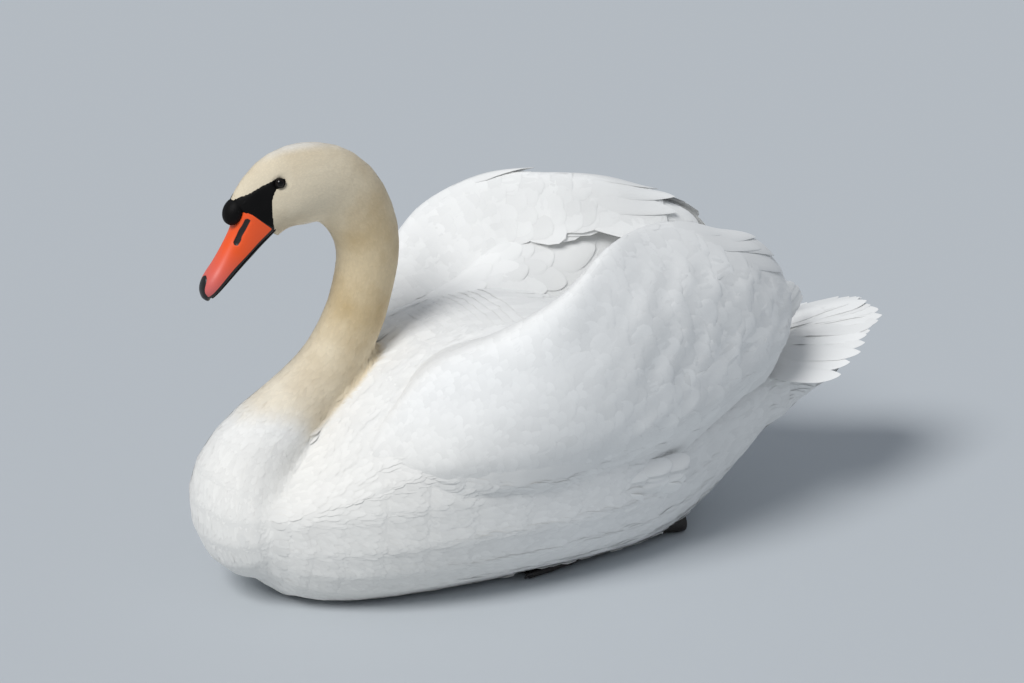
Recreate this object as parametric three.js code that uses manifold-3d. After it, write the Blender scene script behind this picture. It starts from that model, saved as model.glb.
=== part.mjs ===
// Mute swan, life size, afloat in its busking pose and set on its belly: a still museum model.
// Millimetres, +Z up. The swan faces -Y, its left side is +X, and its belly and feet rest at Z = 0.
import * as THREE from 'three';
import Module from 'manifold-3d';
import { mergeVertices } from 'three/addons/utils/BufferGeometryUtils.js';

const wasm = await Module();
wasm.setup();

// ---------------------------------------------------------------- driving dimensions

const GAP = 0.32; // clearance left between neighbouring pieces
const FLOOR = 0;

// Head and neck as one bent tube in the mid plane, from the face over the crown and down the S of the
// neck. Each station: y and z of its centre, half depth (crown to throat) and half width (side to side).
const SPINE = [
  { y: -324, z: 392, deep: 31.5, wide: 18.5 }, // face, where the bill is set
  { y: -314, z: 404, deep: 35, wide: 22.5 },
  { y: -301, z: 414, deep: 38.5, wide: 26 }, // eyes
  { y: -286, z: 420, deep: 41, wide: 28.5 }, // cheeks
  { y: -269, z: 421.5, deep: 41.5, wide: 29.5 }, // back of the crown
  { y: -252, z: 420, deep: 40, wide: 29 },
  { y: -236, z: 413, deep: 39, wide: 28 }, // nape: end of the head
  { y: -222, z: 400, deep: 38, wide: 27.5 },
  { y: -211, z: 382, deep: 36, wide: 27.5 },
  { y: -204, z: 362, deep: 34.5, wide: 28 },
  { y: -202, z: 341, deep: 33, wide: 28.5 },
  { y: -205, z: 321, deep: 32, wide: 29 },
  { y: -210, z: 301, deep: 31.5, wide: 29.5 }, // end of the upper neck
  { y: -218, z: 276, deep: 31.5, wide: 30.5 },
  { y: -235, z: 244, deep: 32, wide: 32 },
  { y: -252, z: 222, deep: 33, wide: 34 },
  { y: -273, z: 202, deep: 35, wide: 37 }, // end of the middle neck
  { y: -297, z: 181, deep: 38, wide: 42 },
  { y: -320, z: 158, deep: 44.5, wide: 50 },
  { y: -337, z: 130, deep: 50, wide: 62 },
  { y: -343, z: 102, deep: 51, wide: 74 }, // crop, the foremost point of the bird
  { y: -340, z: 76, deep: 49, wide: 74 },
  { y: -330, z: 54, deep: 42, wide: 64 },
  { y: -320, z: 40, deep: 27, wide: 42 }, // rounded end inside the breast
];
const HEAD_END = 6;
const UPPER_NECK_END = 12;
const MIDDLE_NECK_END = 16;
const HEAD_TAPER = 0.14; // how much narrower the crown is than the jaw

// Bill, in its own frame: s runs from the face to the tip, n towards the culmen.
const BILL_ORIGIN = { y: -322, z: 384 };
const BILL_FALL = 52.3; // degrees below the horizontal
const BILL = [
  { s: -9.5, top: 28, bottom: -17, wide: 18 },
  { s: 0, top: 25, bottom: -14, wide: 17.5 },
  { s: 10, top: 21.5, bottom: -11.5, wide: 16.5 },
  { s: 22, top: 19.5, bottom: -8, wide: 15.5 },
  { s: 36, top: 17.8, bottom: -4, wide: 15 },
  { s: 50, top: 16.6, bottom: -0.5, wide: 15.2 },
  { s: 63, top: 16.4, bottom: 2.2, wide: 15.4 },
  { s: 72, top: 15.4, bottom: 3.2, wide: 14 },
  { s: 79, top: 12.6, bottom: 3, wide: 10 },
  { s: 82.5, top: 8.5, bottom: 2.8, wide: 4.5 },
];
const MANDIBLE_DEPTH = 4.6; // lower mandible under the cutting edge
const NAIL = { s: 78, n: 14.5, long: 16, wide: 8.5, thick: 8 };
const KNOB = { y: -343, z: 404.5, radius: 13, wide: 12.5, tall: 14.5 };
const EYE = { x: 20.6, y: -303.5, z: 432.5, radius: 5.2 };

// Trunk, by sections across Y: half width, height of the widest line, back and keel. The keel runs
// below the floor where the belly is pressed flat.
const TRUNK = [
  { y: -370, wide: 6, mid: 98, top: 108, keel: 88 },
  { y: -364, wide: 36, mid: 98, top: 116, keel: 66 },
  { y: -350, wide: 68, mid: 102, top: 127, keel: 38 },
  { y: -332, wide: 89, mid: 104, top: 130, keel: 14 },
  { y: -308, wide: 107, mid: 110, top: 143, keel: -2 },
  { y: -278, wide: 127, mid: 117, top: 169, keel: -9 },
  { y: -240, wide: 146, mid: 123, top: 213, keel: -12 },
  { y: -195, wide: 158, mid: 126, top: 244, keel: -12 },
  { y: -140, wide: 165, mid: 127, top: 262, keel: -12 },
  { y: -75, wide: 165, mid: 126, top: 267, keel: -12 },
  { y: -15, wide: 159, mid: 124, top: 256, keel: -12 },
  { y: 45, wide: 147, mid: 123, top: 234, keel: -12 },
  { y: 90, wide: 126, mid: 122, top: 222, keel: -11 },
  { y: 130, wide: 105, mid: 124, top: 212, keel: 0 },
  { y: 170, wide: 87, mid: 132, top: 202, keel: 22 },
  { y: 205, wide: 78, mid: 140, top: 190, keel: 52 },
  { y: 234, wide: 70, mid: 147, top: 180, keel: 80 },
];
const TRUNK_SQUARENESS = 2.35; // exponent of the section: 2 is an ellipse
const FLANK_TUFT = { root: [146, -6, 106], tip: [138, 90, 107], width: 38, thickness: 11 }; // left side

// Tail, a roof of feathers: half span, ridge height, droop of its eaves and thickness.
const TAIL = [
  { y: 235, span: 70, ridge: 178, droop: 27, thick: 98 },
  { y: 262, span: 76, ridge: 179, droop: 27, thick: 66 },
  { y: 290, span: 84, ridge: 182, droop: 26, thick: 36 },
  { y: 318, span: 74, ridge: 187, droop: 21, thick: 18 },
  { y: 346, span: 52, ridge: 191, droop: 13, thick: 9 },
  { y: 370, span: 30, ridge: 195, droop: 6, thick: 5 },
];
const TAIL_FEATHERS = 7; // a side
const FEATHER_SINK = 2; // how far the feathers lie above the tail's flesh
const TAIL_MIDDLE_TIP = { x: 6, y: 394, z: 194 };
const TAIL_OUTER_TIP = { x: 102, y: 277, z: 158 };

// Left wing, arched over the back: five rails from the wrist to the feather tips, each of ten
// points x, y, z. The low edge lies on the flank, the rim is the crest of the arch.
const WING_RAILS = {
  lowEdge: [
    [124, -240, 144], [158, -186, 137], [171, -130, 133], [168, -75, 127], [159, -20, 130],
    [149, 40, 136], [133, 92, 134], [113, 158, 163], [94, 218, 188], [68, 248, 226],
  ],
  lowerBulge: [
    [124, -246, 158], [163, -190, 172], [179, -127, 178], [184, -62, 181], [179, 0, 182],
    [169, 58, 184], [153, 112, 189], [132, 168, 200], [106, 220, 217], [67, 250, 237],
  ],
  upperBulge: [
    [115, -246, 178], [148, -188, 212], [170, -124, 236], [183, -62, 254], [179, -4, 279],
    [160, 58, 294], [141, 112, 294], [121, 166, 284], [94, 216, 262], [66, 250, 248],
  ],
  rim: [
    [99, -239, 194], [113, -186, 251], [139, -122, 284], [161, -66, 324], [138, -8, 355],
    [104, 52, 359], [87, 106, 352], [77, 154, 333], [67, 202, 313], [58, 241, 274],
  ],
  innerEdge: [
    [79, -227, 199], [64, -172, 243], [72, -114, 260], [86, -60, 265], [93, -2, 293],
    [72, 56, 304], [59, 106, 308], [51, 150, 302], [44, 196, 287], [43, 236, 261],
  ],
};
const WING_THICKNESS = [4, 14, 22, 22, 17, 13, 10, 8, 6, 4.5]; // at each rail point
const SECONDARY_CUT = 0.6; // share of the rails ahead of the cut, from which flight feathers run on

// Folded primaries, a bundle that shows under the wing's hind end, over the tail.
const PRIMARIES = [
  { x: 74, y: 132, z: 205, thick: 5, tall: 24 },
  { x: 60, y: 180, z: 210, thick: 6.5, tall: 27 },
  { x: 42, y: 228, z: 221, thick: 6, tall: 27 },
  { x: 25, y: 268, z: 220, thick: 5, tall: 25 },
  { x: 16, y: 290, z: 217, thick: 3.5, tall: 18 },
  { x: 12, y: 300, z: 214, thick: 2, tall: 8 },
];

// Legs folded under the belly: the shank lies on the floor, hock behind, webbed toes forward.
const LEG = {
  hock: [57, 128, 11],
  ankle: [61, 36, 7.6],
  radius: 8,
  hockRadius: 12,
};
const TOES = [
  { tip: [41, -66], joint: [49, -8] }, // inner
  { tip: [69, -98], joint: [67, -26] }, // middle
  { tip: [97, -72], joint: [83, -12] }, // outer
];
const TOE_RADIUS = 5;
const WEB_THICKNESS = 3;
const FOOT_ROOM = 12.5; // height of the hollow in the belly feathers above each foot

// ---------------------------------------------------------------- solids

/** A manifold-3d solid of a closed geometry. */
function solidOf(geometry) {
  const bare = geometry.clone();
  bare.deleteAttribute('normal');
  bare.deleteAttribute('uv');
  const merged = mergeVertices(bare, 1e-4);
  const vertProperties = merged.attributes.position.array;
  const triVerts = new Uint32Array(merged.index.array);
  const made = new wasm.Manifold(new wasm.Mesh({ numProp: 3, vertProperties, triVerts }));
  if (made.volume() > 0) return made;
  for (let i = 0; i < triVerts.length; i += 3) {
    [triVerts[i + 1], triVerts[i + 2]] = [triVerts[i + 2], triVerts[i + 1]];
  }
  return new wasm.Manifold(new wasm.Mesh({ numProp: 3, vertProperties, triVerts }));
}

/** The solid's largest single body, so that no loose sliver of a cut is kept. */
function largestBody(solid) {
  const bodies = solid.decompose();
  bodies.sort((a, b) => b.volume() - a.volume());
  return bodies[0];
}

/** The BufferGeometry of a solid. */
function geometryOf(solid) {
  const mesh = solid.getMesh();
  const geometry = new THREE.BufferGeometry();
  geometry.setAttribute('position', new THREE.BufferAttribute(new Float32Array(mesh.vertProperties), 3));
  geometry.setIndex(new THREE.BufferAttribute(new Uint32Array(mesh.triVerts), 1));
  geometry.computeVertexNormals();
  return geometry;
}

/** A closed solid through rings of points, each ring closed on itself, with flat ends. */
function loft(rings) {
  const around = rings[0].length;
  const positions = rings.flat().flatMap((point) => [point.x, point.y, point.z]);
  const index = [];
  for (let row = 0; row + 1 < rings.length; row += 1) {
    for (let i = 0; i < around; i += 1) {
      const next = (i + 1) % around;
      const [a, b] = [row * around + i, row * around + next];
      index.push(a, b, b + around, a, b + around, a + around);
    }
  }
  const last = (rings.length - 1) * around;
  const centres = [rings[0], rings[rings.length - 1]].map((ring) => {
    const centre = new THREE.Vector3();
    ring.forEach((point) => centre.addScaledVector(point, 1 / ring.length));
    positions.push(centre.x, centre.y, centre.z);
    return positions.length / 3 - 1;
  });
  for (let i = 0; i < around; i += 1) {
    const next = (i + 1) % around;
    index.push(centres[0], next, i, centres[1], last + i, last + next);
  }
  const geometry = new THREE.BufferGeometry();
  geometry.setAttribute('position', new THREE.Float32BufferAttribute(positions, 3));
  geometry.setIndex(index);
  return solidOf(geometry);
}

/** A signed power, for superellipses. */
function bend(value, exponent) {
  return Math.sign(value) * Math.abs(value) ** exponent;
}

/** A smooth curve of named numbers: blend(u) gives each key between the rows of a table. */
function blendRows(rows, keys) {
  const triples = [];
  for (let i = 0; i < keys.length; i += 3) triples.push(keys.slice(i, i + 3));
  const curves = triples.map((names) => {
    const points = rows.map((row) => new THREE.Vector3(...[0, 1, 2].map((k) => row[names[k]] ?? 0)));
    return new THREE.CatmullRomCurve3(points, false, 'catmullrom', 0.5);
  });
  return (u) => {
    const values = {};
    curves.forEach((curve, c) => {
      const point = curve.getPoint(u);
      triples[c].forEach((name, k) => {
        values[name] = point.getComponent(k);
      });
    });
    return values;
  };
}

// ---------------------------------------------------------------- head and neck

const spineAt = blendRows(SPINE, ['y', 'z', 'deep', 'wide']);

/** Centre, tangent and half sizes of the spine at a station number. */
function spineFrame(station) {
  const last = SPINE.length - 1;
  const here = spineAt(station / last);
  const [before, after] = [station - 0.02, station + 0.02].map((s) => {
    const row = spineAt(THREE.MathUtils.clamp(s / last, 0, 1));
    return new THREE.Vector3(0, row.y, row.z);
  });
  const tangent = after.sub(before).normalize();
  const dorsal = new THREE.Vector3(1, 0, 0).cross(tangent);
  const centre = new THREE.Vector3(0, here.y, here.z);
  return { centre, tangent, dorsal, deep: here.deep, wide: here.wide };
}

/** One ring of the head and neck; grow makes it larger by that many millimetres all round. */
function spineRing(station, sides, { grow = 0, shift = 0 } = {}) {
  const { centre, tangent, dorsal, deep, wide } = spineFrame(station);
  const taper = HEAD_TAPER * THREE.MathUtils.smoothstep(HEAD_END - station, 0, HEAD_END - 2);
  const ring = [];
  for (let i = 0; i < sides; i += 1) {
    const angle = (i / sides) * 2 * Math.PI;
    const side = (wide + grow) * Math.sin(angle) * (1 - taper * Math.cos(angle));
    ring.push(centre.clone()
      .addScaledVector(tangent, shift)
      .addScaledVector(dorsal, (deep + grow) * Math.cos(angle))
      .add(new THREE.Vector3(side, 0, 0)));
  }
  return ring;
}

/** A length of the head and neck between two stations, ends flat and pulled back by half the gap. */
function spineLength(from, to, { steps, sides = 20, grow = 0 }) {
  const trim = grow > 0 ? -grow : GAP / 2;
  const rings = [];
  for (let i = 0; i <= steps; i += 1) {
    const station = from + ((to - from) * i) / steps;
    const start = i === 0 && from > 0 ? trim : 0;
    const end = i === steps ? trim : 0;
    rings.push(spineRing(station, sides, { grow, shift: start - end }));
  }
  return loft(rings);
}

const billDown = THREE.MathUtils.degToRad(BILL_FALL);
const BILL_AXIS = new THREE.Vector3(0, -Math.cos(billDown), -Math.sin(billDown));
const BILL_UP = new THREE.Vector3(0, -Math.sin(billDown), Math.cos(billDown));

/** The point of the bill's frame at s along it, n up from it and x to the side. */
function billPoint(s, n, x) {
  return new THREE.Vector3(x, BILL_ORIGIN.y, BILL_ORIGIN.z)
    .addScaledVector(BILL_AXIS, s)
    .addScaledVector(BILL_UP, n);
}

/** A ring of the upper mandible: arched above, flat at the cutting edge. */
function upperBillRing({ s, top, bottom, wide }, sides) {
  const ring = [];
  for (let i = 0; i < sides; i += 1) {
    const angle = (i / sides) * 2 * Math.PI;
    const up = Math.cos(angle);
    const n = up > 0 ? (top - bottom) * bend(up, 0.85) : bend(up, 0.6) * 1.2;
    ring.push(billPoint(s, bottom + n, wide * bend(Math.sin(angle), 0.8)));
  }
  return ring;
}

/** A ring of the lower mandible: a shallow trough under the upper one. */
function lowerBillRing({ s, bottom, wide }, sides) {
  const depth = MANDIBLE_DEPTH * (1 - 0.45 * THREE.MathUtils.smoothstep(s, 20, 80));
  const ring = [];
  for (let i = 0; i < sides; i += 1) {
    const angle = (i / sides) * 2 * Math.PI;
    const n = bottom - 1.2 - GAP - depth / 2 + (depth / 2) * bend(Math.cos(angle), 0.7);
    ring.push(billPoint(s, n, (wide - 1.6) * Math.sin(angle)));
  }
  return ring;
}

const billAt = blendRows(BILL, ['s', 'top', 'bottom', 'wide']);

/** Rows of the bill, evenly spaced between its stations. */
function billRows(count) {
  return Array.from({ length: count + 1 }, (_, i) => billAt(i / count));
}

/** The hard nail at the bill's tip, as an egg that hooks over its end. */
function nailSolid(grow = 0) {
  const egg = new THREE.SphereGeometry(1, 10, 8);
  egg.scale(NAIL.wide + grow, NAIL.thick + grow, NAIL.long + grow);
  const basis = new THREE.Matrix4().makeBasis(
    new THREE.Vector3(1, 0, 0),
    BILL_AXIS.clone().cross(new THREE.Vector3(1, 0, 0)),
    BILL_AXIS,
  );
  egg.applyMatrix4(basis);
  const centre = billPoint(NAIL.s, NAIL.n, 0);
  egg.translate(centre.x, centre.y, centre.z);
  return solidOf(egg);
}

/** The fleshy knob at the root of the bill. */
function knobSolid(grow = 0) {
  const ball = new THREE.SphereGeometry(1, 12, 8);
  ball.scale(KNOB.wide + grow, KNOB.radius + grow, KNOB.tall + grow);
  ball.rotateX(THREE.MathUtils.degToRad(-28));
  ball.translate(0, KNOB.y, KNOB.z);
  return solidOf(ball);
}

/** An eyeball, on the side given by +1 or -1. */
function eyeSolid(side, grow = 0) {
  const ball = new THREE.SphereGeometry(EYE.radius + grow, 9, 6);
  ball.translate(side * EYE.x, EYE.y, EYE.z);
  return solidOf(ball);
}

// ---------------------------------------------------------------- trunk

const trunkAt = blendRows(TRUNK, ['y', 'wide', 'mid', 'top', 'keel']);

/** One section across the trunk, pressed flat where it would pass through the floor. */
function trunkRing(u, sides, grow) {
  const { y, wide, mid, top, keel } = trunkAt(u);
  const ring = [];
  for (let i = 0; i < sides; i += 1) {
    const angle = (i / sides) * 2 * Math.PI;
    const side = (wide + grow) * bend(Math.sin(angle), 2 / TRUNK_SQUARENESS);
    const up = bend(Math.cos(angle), 2 / TRUNK_SQUARENESS);
    const height = up > 0 ? mid + (top + grow - mid) * up : mid + (mid - keel + grow) * up;
    ring.push(new THREE.Vector3(side, y, Math.max(height, FLOOR - grow)));
  }
  return ring;
}

/** The trunk before anything is cut from it. */
function trunkSolid(grow = 0) {
  const rows = 17;
  const rings = [];
  for (let i = 0; i <= rows; i += 1) rings.push(trunkRing(i / rows, 24, grow));
  rings[0].forEach((point) => point.setY(point.y - grow));
  rings[rows].forEach((point) => point.setY(point.y + grow));
  return loft(rings);
}

// ---------------------------------------------------------------- feathers

/** One stiff feather: a thin leaf from root to tip, its face turned towards out. */
function vane({ root, tip, out, width, thickness, sides = 4, steps = 3 }) {
  const along = tip.clone().sub(root);
  const length = along.length();
  along.normalize();
  const across = along.clone().cross(out).normalize();
  const face = across.clone().cross(along);
  const rings = [];
  for (let row = 0; row <= steps; row += 1) {
    const share = Math.sin((row / steps) * (Math.PI / 2));
    const half = (width / 2) * Math.max(0.12, Math.sqrt(1 - bend(share, 6))) * (0.75 + 0.25 * share);
    const ring = [];
    for (let i = 0; i < sides; i += 1) {
      const angle = (i / sides) * 2 * Math.PI;
      ring.push(root.clone()
        .addScaledVector(along, share * length)
        .addScaledVector(across, half * Math.cos(angle))
        .addScaledVector(face, (thickness / 2) * Math.sin(angle)));
    }
    rings.push(ring);
  }
  return loft(rings);
}

// ---------------------------------------------------------------- tail

const tailAt = blendRows(TAIL, ['y', 'span', 'ridge', 'droop', 'thick']);

/** One section of the tail: it leaves the trunk as the trunk ends and turns into a thinning roof. */
function tailRing(u, sides, start) {
  const { y, span, ridge, droop, thick } = tailAt(u);
  const turned = THREE.MathUtils.smoothstep(y, TAIL[0].y, TAIL[1].y + 12);
  return trunkRing(1, sides, 0).map((root, i) => {
    const angle = (i / sides) * 2 * Math.PI;
    const across = Math.sin(angle);
    const depth = thick * Math.max(0, -Math.cos(angle));
    const roof = ridge - droop * Math.abs(across) ** 1.3 - depth - FEATHER_SINK;
    return root.setY(y + start).lerp(new THREE.Vector3(span * across, y + start, roof), turned);
  });
}

/** The flank feathers that end in a tuft under each wing. */
function flankTuft(side) {
  const [root, tip] = [FLANK_TUFT.root, FLANK_TUFT.tip].map(([x, y, z]) => (
    new THREE.Vector3(side * x, y, z)
  ));
  const { width, thickness } = FLANK_TUFT;
  return vane({ root, tip, out: new THREE.Vector3(side, 0, 0.15), width, thickness, sides: 8 });
}

/** The tail: its coverts as one wedge and the tips of its feathers in a fan. */
function tailSolid() {
  const rows = 7;
  const rings = [];
  for (let i = 0; i <= rows; i += 1) rings.push(tailRing(i / rows, 16, i === 0 ? GAP : 0));
  let tail = loft(rings);
  for (const side of [-1, 1]) {
    for (let i = 0; i < TAIL_FEATHERS; i += 1) {
      const share = i / (TAIL_FEATHERS - 1);
      const tip = new THREE.Vector3(
        side * THREE.MathUtils.lerp(TAIL_MIDDLE_TIP.x, TAIL_OUTER_TIP.x, share),
        THREE.MathUtils.lerp(TAIL_MIDDLE_TIP.y, TAIL_OUTER_TIP.y, share ** 1.1),
        THREE.MathUtils.lerp(TAIL_MIDDLE_TIP.z, TAIL_OUTER_TIP.z, share ** 1.1),
      );
      const root = new THREE.Vector3(tip.x * 0.75, Math.max(tip.y - 70, TAIL[0].y + 6), tip.z + 2);
      const out = new THREE.Vector3(side * 0.35, 0, 1);
      tail = tail.add(vane({ root, tip, out, width: 26, thickness: 4 }));
    }
  }
  return tail;
}

// ---------------------------------------------------------------- wings

/** A smooth curve through points. */
function curveThrough(points) {
  return new THREE.CatmullRomCurve3(points, false, 'catmullrom', 0.5);
}

const wingCurves = Object.values(WING_RAILS).map((points) => (
  curveThrough(points.map((point) => new THREE.Vector3(...point)))
));

/** The outer surface of the left wing: t runs from wrist to tips, v from low edge to inner edge. */
function wingPoint(t, v) {
  return curveThrough(wingCurves.map((curve) => curve.getPoint(t))).getPoint(v);
}

/** The outward normal of the left wing's outer surface. */
function wingNormal(t, v) {
  const step = 0.01;
  const clamp = THREE.MathUtils.clamp;
  const along = wingPoint(clamp(t + step, 0, 1), v).sub(wingPoint(clamp(t - step, 0, 1), v));
  const across = wingPoint(t, clamp(v + step, 0, 1)).sub(wingPoint(t, clamp(v - step, 0, 1)));
  return along.cross(across).normalize();
}

/** Shell thickness of the wing: fullest in the middle of each rib, thin at both edges. */
function wingThickness(t, v) {
  const place = t * (WING_THICKNESS.length - 1);
  const row = Math.min(Math.floor(place), WING_THICKNESS.length - 2);
  const full = THREE.MathUtils.lerp(WING_THICKNESS[row], WING_THICKNESS[row + 1], place - row);
  return Math.max(3, full * (0.25 + 0.75 * Math.sin(Math.PI * v) ** 0.6));
}

/** One rib of the left wing's shell: out along the outer surface, back along the inner one. */
function wingRing(t, columns) {
  const outer = [];
  const inner = [];
  for (let i = 0; i <= columns; i += 1) {
    const v = i / columns;
    const point = wingPoint(t, v);
    outer.push(point);
    inner.unshift(point.clone().addScaledVector(wingNormal(t, v), -wingThickness(t, v)));
  }
  return outer.concat(inner);
}

/** Tips of the flight feathers along the hind end of the left wing. */
function flightFeathers() {
  const feathers = [];
  const places = [
    { t: 0.76, v: 0.02 }, { t: 0.87, v: 0.02 }, { t: 0.96, v: 0.05 }, { t: 0.99, v: 0.25 },
    { t: 0.98, v: 0.5 }, { t: 0.94, v: 0.72 }, { t: 0.89, v: 0.9 },
  ];
  for (const { t, v } of places) {
    const end = wingPoint(t, v);
    const start = wingPoint(t - 0.1, v + 0.02);
    const along = end.clone().sub(start).normalize();
    const normal = wingNormal(t - 0.05, v);
    const tip = end.clone().addScaledVector(along, 9).addScaledVector(normal, -2);
    const root = start.clone().addScaledVector(normal, -2.5);
    feathers.push(vane({ root, tip, out: normal, width: 30, thickness: 3.6 }));
  }
  return feathers;
}

/** A stretch of the left wing between two shares of its rails. */
function wingStretch(from, to, rows) {
  const rings = [];
  for (let i = 0; i <= rows; i += 1) rings.push(wingRing(from + ((to - from) * i) / rows, 8));
  return loft(rings);
}

/** A bundle of closed primaries, flattened from side to side. */
function primariesSolid() {
  const at = blendRows(PRIMARIES, ['x', 'y', 'z', 'thick', 'tall']);
  const rows = 7;
  const sides = 8;
  const rings = [];
  for (let row = 0; row <= rows; row += 1) {
    const { x, y, z, thick, tall } = at(row / rows);
    const ring = [];
    for (let i = 0; i < sides; i += 1) {
      const angle = (i / sides) * 2 * Math.PI;
      ring.push(new THREE.Vector3(x + thick * Math.sin(angle), y, z + tall * Math.cos(angle)));
    }
    rings.push(ring);
  }
  return loft(rings);
}

// ---------------------------------------------------------------- legs

/** A round bar between two points, swelling from one radius to another, never below the floor. */
function bar(from, to, startRadius, endRadius, { sides = 8, steps = 4 } = {}) {
  const [a, b] = [new THREE.Vector3(...from), new THREE.Vector3(...to)];
  const along = b.clone().sub(a).normalize();
  const side = new THREE.Vector3(0, 0, 1).cross(along).normalize();
  const up = along.clone().cross(side);
  const rings = [];
  for (let row = 0; row <= steps; row += 1) {
    const share = row / steps;
    const round = Math.max(0.25, Math.sin(Math.PI * THREE.MathUtils.clamp(share, 0.06, 0.94)) ** 0.25);
    const radius = THREE.MathUtils.lerp(startRadius, endRadius, share) * round;
    const centre = a.clone().lerp(b, share);
    const ring = [];
    for (let i = 0; i < sides; i += 1) {
      const angle = (i / sides) * 2 * Math.PI;
      const point = centre.clone()
        .addScaledVector(side, radius * Math.cos(angle))
        .addScaledVector(up, radius * Math.sin(angle));
      point.z = Math.max(point.z, FLOOR);
      ring.push(point);
    }
    rings.push(ring);
  }
  return loft(rings);
}

/** The left shank from hock to ankle, flat on the floor. */
function legSolid(grow = 0) {
  return bar(LEG.hock, LEG.ankle, LEG.hockRadius + grow, LEG.radius + grow);
}

const HEEL = [LEG.ankle[0], LEG.ankle[1] - 12];

/** Outline of the left foot's webs, seen from above. */
function webOutline() {
  const [inner, middle, outer] = TOES.map(({ tip }) => [tip[0], tip[1] + 6]);
  const outline = new THREE.Shape();
  outline.moveTo(HEEL[0], HEEL[1]);
  outline.lineTo(...inner);
  outline.quadraticCurveTo((inner[0] + middle[0]) / 2, inner[1] + 8, ...middle);
  outline.quadraticCurveTo((middle[0] + outer[0]) / 2, outer[1] + 8, ...outer);
  return outline;
}

/** The left foot: three toes joined by webs, flat on the floor. */
function footSolid() {
  const webs = new THREE.ExtrudeGeometry(webOutline(), {
    depth: WEB_THICKNESS,
    bevelEnabled: false,
    curveSegments: 4,
  });
  webs.translate(0, 0, FLOOR + 0.6);
  let foot = solidOf(webs);
  for (const { joint, tip } of TOES) {
    const [heel, knuckle, end] = [[...HEEL, 5], [...joint, 5], [...tip, 3.5]];
    foot = foot.add(bar(heel, knuckle, TOE_RADIUS + 1.5, TOE_RADIUS, { sides: 5, steps: 2 }));
    foot = foot.add(bar(knuckle, end, TOE_RADIUS + 0.6, TOE_RADIUS - 1.6, { sides: 5, steps: 2 }));
  }
  return foot;
}

/** Room for the left leg and foot, pressed up into the belly feathers. */
function legRoomSolid() {
  const pad = new THREE.Shape();
  const [inner, middle, outer] = TOES.map(({ tip }) => tip);
  pad.moveTo(inner[0] - 8, inner[1] - 6);
  pad.lineTo(middle[0], middle[1] - 8);
  pad.lineTo(outer[0] + 8, outer[1] - 6);
  pad.lineTo(HEEL[0] + 14, HEEL[1] + 12);
  pad.lineTo(HEEL[0] - 12, HEEL[1] + 12);
  const room = new THREE.ExtrudeGeometry(pad, { depth: FOOT_ROOM + 1, bevelEnabled: false });
  room.translate(0, 0, FLOOR - 1);
  return solidOf(room).add(legSolid(GAP));
}

// ---------------------------------------------------------------- assembly

const flesh = trunkSolid().add(flankTuft(1)).add(flankTuft(-1));
const fleshGrown = trunkSolid(GAP);

const LENGTHS = {
  head: [0, HEAD_END, { steps: 9, sides: 22 }],
  neckUpper: [HEAD_END, UPPER_NECK_END, { steps: 8 }],
  neckMiddle: [UPPER_NECK_END, MIDDLE_NECK_END, { steps: 5 }],
  neckLower: [MIDDLE_NECK_END, SPINE.length - 1, { steps: 9 }],
};

/** A named length of the head and neck, or the room it takes up. */
function lengthOf(name, grow = 0) {
  const [from, to, options] = LENGTHS[name];
  return spineLength(from, to, { ...options, grow });
}

const headGrown = lengthOf('head', GAP);
const upperWhole = loft(billRows(10).map((row) => upperBillRing(row, 12)));
const lowerWhole = loft(billRows(10).slice(0, 10).map((row) => lowerBillRing(row, 12)));

const leg = legSolid();
const foot = footSolid().subtract(legSolid(GAP));

/** The same solid on the other side of the bird. */
function mirrored(solid) {
  return solid.mirror([1, 0, 0]);
}

const legRoom = legRoomSolid();
const trunk = largestBody(flesh
  .subtract(lengthOf('neckLower', GAP))
  .subtract(lengthOf('neckMiddle', GAP))
  .subtract(legRoom)
  .subtract(mirrored(legRoom)));

const SEAM = 0.0007; // share of the rails that parts the coverts from the flight feathers
const wingFront = wingStretch(0, SECONDARY_CUT - SEAM, 10);
const wingRear = flightFeathers()
  .reduce((wing, feather) => wing.add(feather), wingStretch(SECONDARY_CUT + SEAM, 1, 6));
const primaries = primariesSolid();

/** What is left of a solid beside the trunk. */
function besideTrunk(solid) {
  return largestBody(solid.subtract(fleshGrown));
}

const knob = largestBody(knobSolid().subtract(headGrown));
const knobGrown = knobSolid(GAP);
const eyeSockets = eyeSolid(1, GAP).add(eyeSolid(-1, GAP));
const head = largestBody(lengthOf('head').subtract(eyeSockets));
const upperCut = upperWhole.subtract(headGrown).subtract(knobGrown);
const billUpper = largestBody(upperCut.subtract(nailSolid(GAP)));
const billNail = largestBody(upperCut.intersect(nailSolid()));
const billLower = largestBody(lowerWhole.subtract(headGrown));

// ---------------------------------------------------------------- the bird

const swan = new THREE.Group();

/** Adds one named mesh with its own finish. */
function place(name, solid, color, roughness) {
  const material = new THREE.MeshStandardMaterial({ color, roughness, metalness: 0 });
  const mesh = new THREE.Mesh(geometryOf(solid), material);
  mesh.name = name;
  swan.add(mesh);
}

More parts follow.
